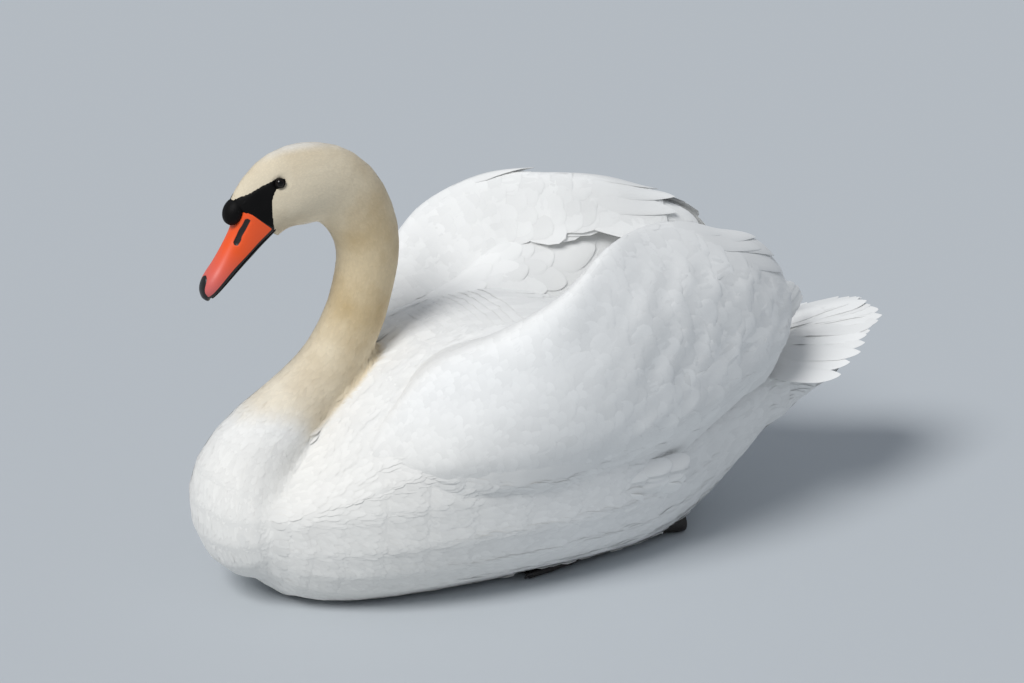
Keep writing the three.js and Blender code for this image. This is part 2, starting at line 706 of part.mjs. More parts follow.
const FEATHER = { white: '#ece9e4', cream: '#d8cbb0', grey: '#cfcfcf' };
place('head', head, FEATHER.cream, 0.85);
place('neck_upper', lengthOf('neckUpper'), FEATHER.cream, 0.85);
place('neck_middle', lengthOf('neckMiddle'), FEATHER.cream, 0.85);
place('neck_lower', lengthOf('neckLower'), FEATHER.white, 0.85);
place('trunk', trunk, FEATHER.white, 0.85);
place('tail', besideTrunk(tailSolid()), FEATHER.white, 0.8);
place('bill_upper', billUpper, '#d8541f', 0.45);
place('bill_lower', billLower, '#15120f', 0.5);
place('bill_nail', billNail, '#15120f', 0.4);
place('bill_knob', knob, '#12100f', 0.5);
[['left', 1], ['right', -1]].forEach(([name, side]) => {
  const turned = (solid) => (side > 0 ? solid : mirrored(solid));
  place(`eye_${name}`, eyeSolid(side), '#150d09', 0.1);
  place(`wing_${name}`, besideTrunk(turned(wingFront)), FEATHER.white, 0.8);
  place(`flight_feathers_${name}`, besideTrunk(turned(wingRear)), FEATHER.white, 0.8);
  place(`primaries_${name}`, besideTrunk(turned(primaries)), FEATHER.grey, 0.8);
  place(`leg_${name}`, turned(leg), '#23211f', 0.6);
  place(`foot_${name}`, turned(foot), '#23211f', 0.6);
});

export default swan;
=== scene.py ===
"""A still, life-size mute swan: skin, plumage, bill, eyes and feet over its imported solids.

Everything is in metres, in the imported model's own frame: +Z up, the swan facing -Y, its left side +X.
"""

import logging
import math
from dataclasses import dataclass, field, replace
from enum import Enum
from typing import Callable, Sequence

import bpy
import numpy as np
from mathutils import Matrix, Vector
from mathutils.bvhtree import BVHTree
from mathutils.geometry import delaunay_2d_cdt


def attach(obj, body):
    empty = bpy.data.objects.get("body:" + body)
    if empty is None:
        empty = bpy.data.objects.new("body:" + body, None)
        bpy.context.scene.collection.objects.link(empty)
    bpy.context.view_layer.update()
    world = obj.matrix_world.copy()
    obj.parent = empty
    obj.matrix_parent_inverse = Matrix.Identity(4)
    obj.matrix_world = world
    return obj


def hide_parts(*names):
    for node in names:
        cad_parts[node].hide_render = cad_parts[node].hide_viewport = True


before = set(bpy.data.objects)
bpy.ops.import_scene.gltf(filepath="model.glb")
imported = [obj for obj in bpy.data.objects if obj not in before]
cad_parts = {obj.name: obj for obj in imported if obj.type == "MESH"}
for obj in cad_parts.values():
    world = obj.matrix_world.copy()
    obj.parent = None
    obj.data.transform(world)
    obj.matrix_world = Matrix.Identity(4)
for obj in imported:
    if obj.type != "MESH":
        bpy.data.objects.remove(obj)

log = logging.getLogger("swan")

MM = 0.001
BODY = "root"
WHITE_SLOT = "feather_white"
BAKE_MAP = "OFBake"
TUFT_PATCH = 0.003  # side of one tuft's patch on the bake map
FLOOR_CLEARANCE = 0.25 * MM
TINY = 1e-12  # keeps divisions away from nothing
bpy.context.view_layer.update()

Array = np.ndarray
Face = tuple[int, ...]
Line = tuple[Array, Array, Array]  # points, unit tangents and distances along a line
Rail = tuple[tuple[float, float, float], ...]


class Side(Enum):
    """A side of the bird, with the sign of X on it."""

    LEFT = 1
    RIGHT = -1

    @property
    def word(self) -> str:
        """The side's name as node names have it."""
        return self.name.lower()

    @property
    def mirror(self) -> Array:
        """What points made for the left side are multiplied by."""
        return np.array([self.value, 1, 1])


# ---------------------------------------------------------------------------- small helpers


def linear(code: str) -> tuple[float, float, float, float]:
    """Turns an sRGB hex colour into a linear one.

    Args:
        code: The colour as "#rrggbb".

    Returns:
        Linear red, green, blue and an alpha of 1.
    """
    parts = [int(code[i:i + 2], 16) / 255 for i in (1, 3, 5)]
    red, green, blue = (c / 12.92 if c <= 0.04045 else ((c + 0.055) / 1.055) ** 2.4 for c in parts)
    return red, green, blue, 1.0


def unit(vectors: Array) -> Array:
    """Vectors scaled to a length of 1."""
    return vectors / np.maximum(np.linalg.norm(vectors, axis=-1, keepdims=True), TINY)


def dot(first: Array, second: Array) -> Array:
    """Products of vectors along the last axis, which is kept."""
    return np.sum(first * second, axis=-1, keepdims=True)


def smoothstep(value: Array, low: float, high: float) -> Array:
    """A smooth rise from 0 at low to 1 at high."""
    share = np.clip((value - low) / (high - low), 0, 1)
    return share * share * (3 - 2 * share)


def bent(value: Array, power: Array | float) -> Array:
    """A signed power, which turns a circle's sine or cosine into a squarer or sharper one."""
    return np.sign(value) * np.abs(value) ** power


def round_turn(count: int) -> Array:
    """Evenly spaced angles round a full turn."""
    return np.linspace(0, 2 * math.pi, count, endpoint=False)


def spline(points: Array, share: Array) -> Array:
    """A smooth curve through points.

    Args:
        points: The points, shaped (n, d), or (m, n, d) for one curve per share.
        share: Places along the curve from 0 to 1.

    Returns:
        The curve's points, with the shape of share and d added.
    """
    first = 2 * points[..., :1, :] - points[..., 1:2, :]
    final = 2 * points[..., -1:, :] - points[..., -2:-1, :]
    padded = np.concatenate([first, points, final], axis=-2)
    spans = points.shape[-2] - 1
    place = np.clip(share, 0, 1) * spans
    low = np.minimum(place.astype(int), spans - 1)
    w = (place - low)[..., None]
    if padded.ndim == 2:
        a, b, c, d = (padded[low + k] for k in range(4))
    else:
        a, b, c, d = (
            np.take_along_axis(padded, (low + k)[..., None, None], axis=-2)[..., 0, :] for k in range(4)
        )
    return (
        (2 * w**3 - 3 * w**2 + 1) * b
        + (w**3 - 2 * w**2 + w) * (c - a) / 2
        + (3 * w**2 - 2 * w**3) * c
        + (w**3 - w**2) * (d - b) / 2
    )


def distances_along(points: Array) -> Array:
    """The distance from the first of some points to each, along them."""
    return np.concatenate([[0], np.cumsum(np.linalg.norm(np.diff(points, axis=0), axis=1))])


def read(items: bpy.types.bpy_prop_collection, name: str, width: int = 3, kind: type = np.float32) -> Array:
    """One property of all of a mesh's vertices, edges or faces.

    Args:
        items: The mesh's vertices, edges or faces.
        name: The property's name.
        width: How many numbers each item has.
        kind: The numbers' type.

    Returns:
        The numbers, shaped (items, width).
    """
    values = np.zeros(len(items) * width, kind)
    items.foreach_get(name, values)
    return values.reshape(-1, width)


def write(items: bpy.types.bpy_prop_collection, name: str, values: Array, kind: type = np.float32) -> None:
    """Sets one property of all items of a mesh."""
    items.foreach_set(name, np.ascontiguousarray(values, kind).ravel())


def mark(mesh: bpy.types.Mesh, **values: Array | float) -> None:
    """Writes numbers for each vertex, which materials read by their names.

    Args:
        mesh: The mesh.
        values: stain, the share of cream stain; shade, the small difference between one feather and
            the next; and along, the place from a feather's root, 0, to its tip, 1.
    """
    for name, numbers in values.items():
        layer = mesh.attributes.new(name, "FLOAT", "POINT")
        write(layer.data, "value", np.broadcast_to(numbers, len(mesh.vertices)))


def fill_mesh(mesh: bpy.types.Mesh, vertices: Array, corners: Array, sizes: Array) -> Array:
    """Fills an empty mesh from arrays, smooth-shaded.

    Args:
        mesh: The mesh to fill.
        vertices: Points in metres, shaped (n, 3).
        corners: Vertex numbers of all faces, one after the other.
        sizes: The number of corners of each face.

    Returns:
        The number of each face's first corner.
    """
    starts = np.concatenate([[0], np.cumsum(sizes)[:-1]])
    mesh.vertices.add(len(vertices))
    write(mesh.vertices, "co", vertices)
    mesh.loops.add(len(corners))
    write(mesh.loops, "vertex_index", corners, np.int32)
    mesh.polygons.add(len(sizes))
    write(mesh.polygons, "loop_start", starts, np.int32)
    write(mesh.polygons, "use_smooth", np.ones(len(sizes)), bool)
    mesh.update(calc_edges=True)
    return starts


def link(name: str, mesh: bpy.types.Mesh) -> bpy.types.Object:
    """Puts a mesh into the scene as an object.

    Args:
        name: The piece's name.
        mesh: Its mesh.

    Returns:
        The new object.
    """
    piece = bpy.data.objects.new(name, mesh)
    bpy.context.scene.collection.objects.link(piece)
    return piece


def make_object(name: str, vertices: Array, faces: Sequence[Sequence[int]]) -> bpy.types.Object:
    """Makes a smooth-shaded mesh object in the scene.

    Args:
        name: The piece's name.
        vertices: Points in metres, shaped (n, 3).
        faces: Vertex numbers of each face, counter-clockwise from outside.

    Returns:
        The new object.
    """
    mesh = bpy.data.meshes.new(name)
    fill_mesh(mesh, vertices, np.concatenate(list(map(np.asarray, faces))), np.array(list(map(len, faces))))
    mesh.validate()
    return link(name, mesh)


def mount(
    piece: bpy.types.Object, material: bpy.types.Material, nodes: Sequence[str] = (),
) -> None:
    """Finishes a piece: its material, what it rides on and the solids it stands for.

    Args:
        piece: The finished object.
        material: What it is made of.
        nodes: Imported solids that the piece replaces.
    """
    piece.data.materials.clear()
    piece.data.materials.append(material)
    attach(piece, BODY)
    if nodes:
        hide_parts(*nodes)
    log.info("%s: %d faces", piece.name, len(piece.data.polygons))


def node_arrays(names: Sequence[str]) -> tuple[Array, list[list[int]]]:
    """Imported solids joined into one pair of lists.

    Args:
        names: The solids' names.

    Returns:
        Their vertices and faces.
    """
    points, faces, start = [], [], 0
    for name in names:
        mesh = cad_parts[name].data
        points.append(read(mesh.vertices, "co").astype(float))
        faces += [[start + v for v in p.vertices] for p in mesh.polygons]
        start += len(mesh.vertices)
    return np.vstack(points), faces


def loft(rings: Array) -> tuple[Array, list[Face]]:
    """Closes rings of points into a solid with flat fans at its ends.

    Args:
        rings: Points shaped (rows, around, 3).

    Returns:
        Vertices and faces, all facing outwards.
    """
    rows, around, _ = rings.shape
    vertices = np.vstack([rings.reshape(-1, 3), rings[0].mean(axis=0), rings[-1].mean(axis=0)])
    first, last_row = rows * around, (rows - 1) * around
    faces: list[Face] = []
    for here in range(last_row):
        beside = here + 1 if (here + 1) % around else here + 1 - around
        faces.append((here, beside, beside + around, here + around))
    for i in range(around):
        beside = (i + 1) % around
        faces += [(first, beside, i), (first + 1, last_row + i, last_row + beside)]
    return vertices, facing_out(vertices, faces)


def facing_out(vertices: Array, faces: list[Face]) -> list[Face]:
    """The faces of a closed mesh, all turned over if they face inwards.

    Args:
        vertices: The mesh's points.
        faces: Its faces, all turned the same way.

    Returns:
        The faces, counter-clockwise from outside.
    """
    volume = 0.0
    for face in faces:
        for k in range(1, len(face) - 1):
            a, b, c = vertices[face[0]], vertices[face[k]], vertices[face[k + 1]]
            volume += float(np.dot(a, np.cross(b, c)))
    return faces if volume > 0 else [face[::-1] for face in faces]


def join_solids(solids: Sequence[tuple[Array, list[Face]]]) -> tuple[Array, list[Face]]:
    """Joins closed meshes into one pair of lists.

    Args:
        solids: Vertices and faces of each.

    Returns:
        All vertices and faces.
    """
    starts = np.cumsum([0] + [len(vertices) for vertices, _ in solids])
    faces = [tuple(v + start for v in face) for start, (_, own) in zip(starts, solids) for face in own]
    return np.vstack([vertices for vertices, _ in solids]), faces


class Shell:
    """A surface that can be asked for its nearest point, its normal there, and where a ray meets it."""

    def __init__(self, vertices: Array, faces: Sequence[Sequence[int]]) -> None:
        """Builds the search tree from points in metres and the vertex numbers of each face."""
        self.tree = BVHTree.FromPolygons([Vector(v) for v in vertices], [list(f) for f in faces])

    def nearest(self, points: Array) -> tuple[Array, Array, Array]:
        """Nearest places on the surface.

        Args:
            points: Points in metres, shaped (n, 3).

        Returns:
            The nearest places, the normals there and the distances.
        """
        places, normals = np.zeros_like(points), np.zeros_like(points)
        distances = np.zeros(len(points))
        for i, point in enumerate(points):
            places[i], normals[i], _, distances[i] = self.tree.find_nearest(Vector(point))
        return places, normals, distances

    def cast(self, origins: Array, directions: Array, reach: float) -> tuple[Array, Array, Array]:
        """Where rays first meet the surface.

        Args:
            origins: Start of each ray.
            directions: Unit direction of each ray.
            reach: Furthest that a ray goes, in metres.

        Returns:
            The places met, the normals there and whether each ray met anything.
        """
        places, normals = np.zeros_like(origins), np.zeros_like(origins)
        met = np.zeros(len(origins), bool)
        for i in range(len(origins)):
            place, normal, _, _ = self.tree.ray_cast(Vector(origins[i]), Vector(directions[i]), reach)
            if place is not None:
                places[i], normals[i], met[i] = place, normal, True
        return places, normals, met


# ---------------------------------------------------------------------------- finishes


Feed = bpy.types.NodeSocket | float | tuple[float, ...]  # what feeds a shader input


class Shader:
    """A material's node tree, written from its inputs to one Principled shader."""

    def __init__(self, name: str) -> None:
        """Starts an empty material.

        Args:
            name: The material's name.
        """
        self.material = bpy.data.materials.new(name)
        self.material.use_nodes = True
        self.tree = self.material.node_tree
        self.tree.nodes.clear()

    def node(
        self, kind: str, output: str, links: dict[str | int, Feed], **settings: object,
    ) -> bpy.types.NodeSocket:
        """Adds a node.

        Args:
            kind: The node's type after "ShaderNode".
            output: The output wanted of it.
            links: For each input by name or number, the output that feeds it, or a plain value.
            settings: Properties of the node, by name.

        Returns:
            The output.
        """
        node = self.tree.nodes.new("ShaderNode" + kind)
        for name, value in settings.items():
            setattr(node, name, value)
        for name, value in links.items():
            if isinstance(value, bpy.types.NodeSocket):
                self.tree.links.new(value, node.inputs[name])
            else:
                node.inputs[name].default_value = value
        return node.outputs[output]

    def attribute(self, name: str) -> bpy.types.NodeSocket:
        """Numbers written on the mesh by mark()."""
        return self.node("Attribute", "Fac", {}, attribute_name=name)

    def plates(self, size: float, feature: str = "F1") -> bpy.types.NodeSocket:
        """Cells of a size in metres over the whole model, by the distance from their middle or edge."""
        links = {"Vector": self.node("TexCoord", "Object", {}), "Scale": 1 / size}
        return self.node("TexVoronoi", "Distance", links, feature=feature)

    def noise(self, size: float, detail: float) -> bpy.types.NodeSocket:
        """Soft noise of a size in metres over the whole model."""
        links = {"Vector": self.node("TexCoord", "Object", {}), "Scale": 1 / size, "Detail": detail}
        return self.node("TexNoise", "Fac", links)

    def span(
        self, value: Feed, low: float, high: float, start: float = 0.0, end: float = 1.0,
    ) -> bpy.types.NodeSocket:
        """A value that runs from start at low to end at high."""
        links = {"Value": value, "From Min": low, "From Max": high, "To Min": start, "To Max": end}
        return self.node("MapRange", "Result", links)

    def mix(self, share: Feed, first: Feed, second: Feed) -> bpy.types.NodeSocket:
        """A colour between two, by the share of the second."""
        return self.node("Mix", "Result", {"Factor": share, "A": first, "B": second}, data_type="RGBA")

    def bump(
        self, height: Feed, strength: float, distance: float, invert: bool = False,
    ) -> bpy.types.NodeSocket:
        """A normal bumped by a height."""
        links = {"Height": height, "Strength": strength, "Distance": distance}
        return self.node("Bump", "Normal", links, invert=invert)

    def finish(
        self, colour: Feed, roughness: float, others: dict[str | int, Feed] | None = None,
    ) -> bpy.types.Material:
        """Ends the tree in a Principled shader.

        Args:
            colour: The base colour.
            roughness: How much it spreads reflections.
            others: More of the shader's inputs, by name.

        Returns:
            The material.
        """
        links = {"Base Color": colour, "Roughness": roughness, **(others or {})}
        surface = self.node("BsdfPrincipled", "BSDF", links)
        output = self.tree.nodes.new("ShaderNodeOutputMaterial")
        self.tree.links.new(surface, output.inputs["Surface"])
        return self.material


@dataclass(frozen=True)
class Plumage:
    """Keratin feather barbs, a matt white that scatters light softly, stained cream on head and neck.

    The sheen stands for the barbules' bloom at the edges; each feather differs a little from the next, and
    is painted darker towards its covered root as shade.
    """

    name: str = "feather_keratin_white"
    white: str = "#f5f5f3"
    cream: str = "#e6d6b6"
    ochre: str = "#c2a97c"
    covered_root_painted_shade: float = 0.93  # painted shade: value of a feather's covered root against its tip
    variation: float = 0.035
    mottle_size: float = 55 * MM
    mottle: tuple[float, float] = (0.42, 0.68)  # where the noise turns to ochre
    mottle_share: float = 0.55
    deep_stain_and_shade: float = 0.86  # the stain above which the neck is deeper in colour, partly real stain and partly painted shade
    deep_stain_and_shade_share: float = 0.4
    roughness: float = 0.78
    sheen: float = 0.25
    sheen_roughness: float = 0.5
    specular: float = 0.3

    def material(self) -> bpy.types.Material:
        """Makes the material.

        Returns:
            The material.
        """
        shader = Shader(self.name)
        stain = shader.attribute("stain")
        mottle = shader.span(shader.noise(self.mottle_size, 3.0), *self.mottle, 0.0, self.mottle_share)
        # the most stained part of the neck turns deeper ochre, partly as stain and partly as painted shade
        deep = shader.span(stain, self.deep_stain_and_shade, 1.0, 0.0, self.deep_stain_and_shade_share)
        deeper = shader.node("Math", "Value", {0: mottle, 1: deep}, operation="ADD")
        tint = shader.mix(deeper, linear(self.cream), linear(self.ochre))
        plain = shader.mix(stain, linear(self.white), tint)
        # painted shade: each feather is darker towards its root, where the feathers over it would shade it
        root = shader.span(shader.attribute("along"), 0.0, 1.0, self.covered_root_painted_shade, 1.0)
        terms = {0: shader.attribute("shade"), 1: self.variation, 2: root}
        value = shader.node("Math", "Value", terms, operation="MULTIPLY_ADD")
        colour = shader.node("HueSaturation", "Color", {"Color": plain, "Value": value})
        return shader.finish(colour, self.roughness, {
            "Sheen Weight": self.sheen,
            "Sheen Roughness": self.sheen_roughness,
            "Specular IOR Level": self.specular,
        })


@dataclass(frozen=True)
class Horn:
    """Smooth horn sheath of the upper bill: orange-red with a satin gloss, pinker at the tip."""

    name: str = "bill_horn_orange"
    base: str = "#fb5a1c"
    tip: str = "#da6a66"
    black: str = "#120f0e"
    pinker: tuple[float, float] = (0.35, 0.9)  # shares of the length between which it turns pink
    edge: tuple[float, float] = (0.4, 0.6)  # how sharp the black marks are
    roughness: float = 0.42
    ior: float = 1.55
    grain: float = 1.4 * MM
    grain_depth: float = 0.15 * MM

    def material(self) -> bpy.types.Material:
        """Makes the material, with the black marks read from the mesh.

        Returns:
            The material.
        """
        shader = Shader(self.name)
        pink = shader.span(shader.attribute("along"), *self.pinker)
        orange = shader.mix(pink, linear(self.base), linear(self.tip))
        sharp = shader.span(shader.attribute("shade"), *self.edge)
        colour = shader.mix(sharp, orange, linear(self.black))
        normal = shader.bump(shader.noise(self.grain, 2.0), 0.25, self.grain_depth)
        return shader.finish(colour, self.roughness, {"IOR": self.ior, "Normal": normal})


@dataclass(frozen=True)
class BlackHorn:
    """Dense black horn of the nail, lower bill and claws: satin, with faint growth lines."""

    name: str = "horn_black"
    colour: str = "#141110"
    roughness: float = 0.38
    ior: float = 1.55
    line_gap: float = 1.2 * MM
    line_depth: float = 0.15 * MM

    def material(self) -> bpy.types.Material:
        """Makes the material.

        Returns:
            The material.
        """
        shader = Shader(self.name)
        normal = shader.bump(shader.noise(self.line_gap, 2.0), 0.3, self.line_depth)
        return shader.finish(linear(self.colour), self.roughness, {"IOR": self.ior, "Normal": normal})


@dataclass(frozen=True)
class BareSkin:
    """Bare black facial skin of the lores and knob: fine pebbled leather with a dull shine."""

    name: str = "skin_bare_black"
    colour: str = "#070606"
    roughness: float = 0.6
    ior: float = 1.45
    specular: float = 0.18  # the dry skin's dull surface gives back less than a smooth one
    pebble: float = 1.1 * MM
    depth: float = 0.25 * MM

    def material(self) -> bpy.types.Material:
        """Makes the material.

        Returns:
            The material.
        """
        shader = Shader(self.name)
        pebbles = shader.plates(self.pebble)
        return shader.finish(linear(self.colour), self.roughness, {
            "IOR": self.ior,
            "Specular IOR Level": self.specular,
            "Normal": shader.bump(pebbles, 0.4, self.depth, invert=True),
        })


@dataclass(frozen=True)
class EyeSurface:
    """Wet cornea over a dark brown iris: almost black, with one clear highlight."""

    name: str = "eye_cornea_wet"
    stops: tuple[tuple[float, str], ...] = (
        (0.30, "#030202"), (0.36, "#150c07"), (0.66, "#150c07"), (0.8, "#060404"),
    )  # pupil, iris and rim, by the distance from the pupil's middle
    roughness: float = 0.05
    ior: float = 1.376
    specular: float = 0.5

    def material(self) -> bpy.types.Material:
        """Makes the material, with the distance from the pupil's middle read from the mesh.

        Returns:
            The material.
        """
        shader = Shader(self.name)
        colour = shader.node("ValToRGB", "Color", {"Fac": shader.attribute("along")})
        ramp = colour.node.color_ramp.elements
        for number, (position, code) in enumerate(self.stops):
            stop = ramp[number] if number < len(ramp) else ramp.new(position)
            stop.position, stop.color = position, linear(code)
        others = {"IOR": self.ior, "Specular IOR Level": self.specular}
        return shader.finish(colour, self.roughness, others)


@dataclass(frozen=True)
class FootSkin:
    """Scaly webbed foot skin: near-black leather with small plates, lighter towards their middles, matt."""

    name: str = "foot_skin_scaly"
    colour: str = "#2b2826"
    plate_middle: str = "#4a4540"
    plate: float = 2.6 * MM
    groove: float = 0.4 * MM
    roughness: float = 0.62

    def material(self) -> bpy.types.Material:
        """Makes the material.

        Returns:
            The material.
        """
        shader = Shader(self.name)
        plates = shader.plates(self.plate, "DISTANCE_TO_EDGE")
        # lighter towards each plate's middle, darker along its edges
        colour = shader.mix(plates, linear(self.colour), linear(self.plate_middle))
        return shader.finish(colour, self.roughness, {"Normal": shader.bump(plates, 0.6, self.groove)})


@dataclass(frozen=True)
class FloorPaint:
    """Smooth matt floor paint: pale grey and even, so that white plumage stands out on it."""

    name: str = "floor_paint_matt"
    colour: str = "#c3c8cc"
    roughness: float = 0.9

    def material(self) -> bpy.types.Material:
        """Makes the material."""
        return Shader(self.name).finish(linear(self.colour), self.roughness)


# ---------------------------------------------------------------------------- the bird's line


@dataclass(frozen=True)
class NeckLine:
    """Centre line of head and neck in the mid plane, from the face to the crop."""

    points: tuple[tuple[float, float], ...] = (
        (-324, 392), (-301, 414), (-269, 421.5), (-236, 413), (-211, 382), (-202, 341),
        (-210, 301), (-235, 244), (-273, 202), (-320, 158), (-343, 102), (-335, 62),
    )  # y and z in millimetres
    samples: int = 400

    def curve(self) -> Line:
        """Points along the line, unit tangents and distances from the face, in metres.

        Returns:
            The line.
        """
        flat = np.array(self.points) * MM
        line = np.column_stack([np.zeros(len(flat)), flat])
        points = spline(line, np.linspace(0, 1, self.samples))
        return points, unit(np.gradient(points, axis=0)), distances_along(points)


@dataclass(frozen=True)
class Stain:
    """Where iron in the water has stained the white plumage cream on head and neck, and a faint warm tint
    added low on the front of the breast.
    """

    line: NeckLine = NeckLine()
    shares: tuple[tuple[float, float], ...] = (
        (0, 0.84), (80, 0.86), (160, 1.0), (250, 1.0), (320, 0.8), (400, 0.5), (480, 0.26),
    )  # distance along the neck from the face, in millimetres, and share of stain; where it passes 0.86 the plumage also paints the neck deeper, partly as shade
    reach: tuple[float, float] = (37 * MM, 43 * MM)  # from the neck's centre line
    front: tuple[float, float] = (0.0, 0.26)  # how far ahead the breast's tint grows
    low_front_heights: tuple[float, float] = (0.26, 0.14)  # heights between which it grows
    low_front_share: float = 0.13
    thin: int = 4  # every fourth point of the line is enough
    batch: int = 20000  # points looked at together

    def at(self, points: Array) -> Array:
        """The share of stain at points.

        Args:
            points: Points in metres, shaped (n, 3).

        Returns:
            The share at each.
        """
        centres, _, distances = self.line.curve()
        centres, distances = centres[::self.thin], distances[::self.thin]
        marks = np.array(self.shares)
        shares = np.zeros(len(points))
        for start in range(0, len(points), self.batch):
            part = points[start:start + self.batch]
            gaps = np.linalg.norm(part[:, None, :] - centres[None, :, :], axis=2)
            fade = np.interp(distances[gaps.argmin(axis=1)], marks[:, 0] * MM, marks[:, 1])
            shares[start:start + self.batch] = fade * (1 - smoothstep(gaps.min(axis=1), *self.reach))
        # a faint warm tint over the low front of the breast
        front = smoothstep(-points[:, 1], *self.front)
        low = 1 - smoothstep(points[:, 2], self.low_front_heights[1], self.low_front_heights[0])
        return np.clip(shares + self.low_front_share * front * low, 0, 1)


@dataclass(frozen=True)
class Coating:
    """What all feather pieces share: their finish and the stain on them."""

    material: bpy.types.Material
    stain: Stain


@dataclass(frozen=True)
class Swelling:
    """A soft rise, or a hollow where height is negative, in the skin on both sides of the head."""

    at: tuple[float, float, float]
    radius: float
    height: float

    def push(self, points: Array, normals: Array) -> Array:
        """Moves points along their normals.

        Args:
            points: The skin's points.
            normals: Its normals there.

        Returns:
            The moved points.
        """
        gaps = np.min([np.linalg.norm(points - side.mirror * self.at, axis=1) for side in Side], axis=0)
        return points + normals * (self.height * np.exp(-((gaps / self.radius) ** 2)))[:, None]


# ---------------------------------------------------------------------------- skin


@dataclass
class Skin:
    """One seamless skin under all the plumage, inside the flesh solids by the coat's depth."""

    voxel: float = 3.2 * MM
    grid: float = 1e-3  # corners of the solids are one where they round to the same of this, in millimetres
    seal: float = 0.35 * MM  # closes the thin cuts between the solids
    passes: int = 20  # every second one undoes the shrinking of the one before
    shrink: float = 0.5
    swell: float = -0.52
    depths: dict[tuple[str, ...], float] = field(default_factory=lambda: {
        ("head",): 0.7 * MM,
        ("neck_upper", "neck_middle", "neck_lower"): 1.1 * MM,
        ("trunk",): 1.5 * MM,
        ("tail",): 2.4 * MM,
        ("wing_left", "wing_right"): 1.9 * MM,
    })
    depth_blend: float = 1.5 * MM  # how gently one depth runs into the next
    swellings: tuple[Swelling, ...] = (
        Swelling((24 * MM, -304 * MM, 433 * MM), 7 * MM, -1.2 * MM),  # eye socket
        Swelling((19 * MM, -310 * MM, 443 * MM), 10 * MM, 1.2 * MM),  # brow
        Swelling((24 * MM, -292 * MM, 402 * MM), 18 * MM, 1.6 * MM),  # cheek
        Swelling((19 * MM, -322 * MM, 414 * MM), 9 * MM, -1.4 * MM),  # hollow of the lores
    )
    fold_front: tuple[float, float] = (0.21, 0.26)  # ahead of which the fold under the crop is filled
    fold_top: tuple[float, float] = (0.11, 0.17)  # and below which
    fold_passes: int = 150
    fold_step: float = 0.5
    wedge: tuple[tuple[float, ...], ...] = (
        (0.290, 0.326, 0.350, 0.370, 0.395), (0.162, 0.181, 0.185, 0.187, 0.190), (1.0, 0.45, 0.4, 0.5, 0.6),
    )  # lengths along the tail, the heights of its middle there, and the share kept of its upper half
    under_thinned: float = 0.4  # share that is taken off the lower half at its end
    tail_start: float = 0.310
    tail_kept: float = 0.72  # share of the tail's length that is flesh, the rest being feathers
    bare_along: float = 0.4  # the skin is as light as the feathers' roots, sharing their painted shade

    @property
    def nodes(self) -> list[str]:
        """The flesh solids that the skin stands for."""
        return [name for names in self.depths for name in names]

    def join_flesh(self) -> bpy.types.Mesh:
        """All flesh solids in one mesh, swollen enough to touch, remeshed into one surface.

        Returns:
            The mesh.
        """
        vertices, faces = node_arrays(self.nodes)
        places = np.round(vertices / (self.grid * MM)).astype(np.int64)
        keys, inverse = np.unique(places, axis=0, return_inverse=True)
        inverse = inverse.ravel()
        welded = keys * self.grid * MM
        rough = make_object("skin_rough", welded, [inverse[f] for f in faces])
        write(rough.data.vertices, "co", welded + read(rough.data.vertices, "normal") * self.seal)
        remesh = rough.modifiers.new("remesh", "REMESH")
        remesh.mode = "VOXEL"
        remesh.voxel_size = self.voxel
        graph = bpy.context.evaluated_depsgraph_get()
        mesh = bpy.data.meshes.new_from_object(rough.evaluated_get(graph), depsgraph=graph)
        bpy.data.objects.remove(rough)
        return mesh

    @staticmethod
    def towards_neighbours(points: Array, edges: Array) -> Array:
        """The way from each point to the middle of its neighbours.

        Args:
            points: The surface's points.
            edges: The two vertex numbers of each edge.

        Returns:
            One vector for each point.
        """
        count = len(points)
        total = np.column_stack([
            np.bincount(edges[:, 0], points[edges[:, 1], axis], count)
            + np.bincount(edges[:, 1], points[edges[:, 0], axis], count)
            for axis in range(3)
        ])
        return total / np.maximum(np.bincount(edges.ravel(), minlength=count)[:, None], 1) - points

    def smooth(self, points: Array, edges: Array) -> Array:
        """Smooths a surface without shrinking it.

        Args:
            points: The surface's points.
            edges: The two vertex numbers of each edge.

        Returns:
            The smoothed points.
        """
        for step in range(self.passes):
            share = self.shrink if step % 2 == 0 else self.swell
            points = points + share * self.towards_neighbours(points, edges)
        return points

    def fill_fold(self, points: Array, normals: Array, edges: Array) -> Array:
        """Fills the fold between crop and breast, as loose plumage does, outwards only.

        Args:
            points: The skin's points.
            normals: Its normals there.
            edges: The two vertex numbers of each edge.

        Returns:
            The moved points.
        """
        share = smoothstep(-points[:, 1], *self.fold_front) * (1 - smoothstep(points[:, 2], *self.fold_top))
        for _ in range(self.fold_passes):
            out = np.sum(self.towards_neighbours(points, edges) * normals, axis=1)
            points = points + normals * (self.fold_step * np.maximum(out, 0) * share)[:, None]
        return points

    def thin_tail(self, points: Array) -> Array:
        """Thins and shortens the tail to the flesh that the long feathers stand in.

        Args:
            points: The skin's points.

        Returns:
            The moved points.
        """
        lengths, middles, kept = (np.array(row) for row in self.wedge)
        y, z = points[:, 1], points[:, 2]
        middle = np.interp(y, lengths, middles)
        under = 1 - self.under_thinned * smoothstep(y, *lengths[2:4])
        thinned = middle + (z - middle) * np.where(z > middle, np.interp(y, lengths, kept), under)
        nearer = np.where(y > self.tail_start, self.tail_start + (y - self.tail_start) * self.tail_kept, y)
        return np.column_stack([points[:, 0], nearer, np.where(y > lengths[0], thinned, z)])

    def coat_depth(self, points: Array) -> Array:
        """How deep the skin lies under the outline.

        Args:
            points: Points of the outline.

        Returns:
            The depth at each, in metres.
        """
        weights, total = np.zeros(len(points)), np.zeros(len(points))
        for names, depth in self.depths.items():
            _, _, gaps = Shell(*node_arrays(names)).nearest(points)
            weight = 1 / (gaps + self.depth_blend) ** 3
            weights += weight
            total += weight * depth
        return total / weights

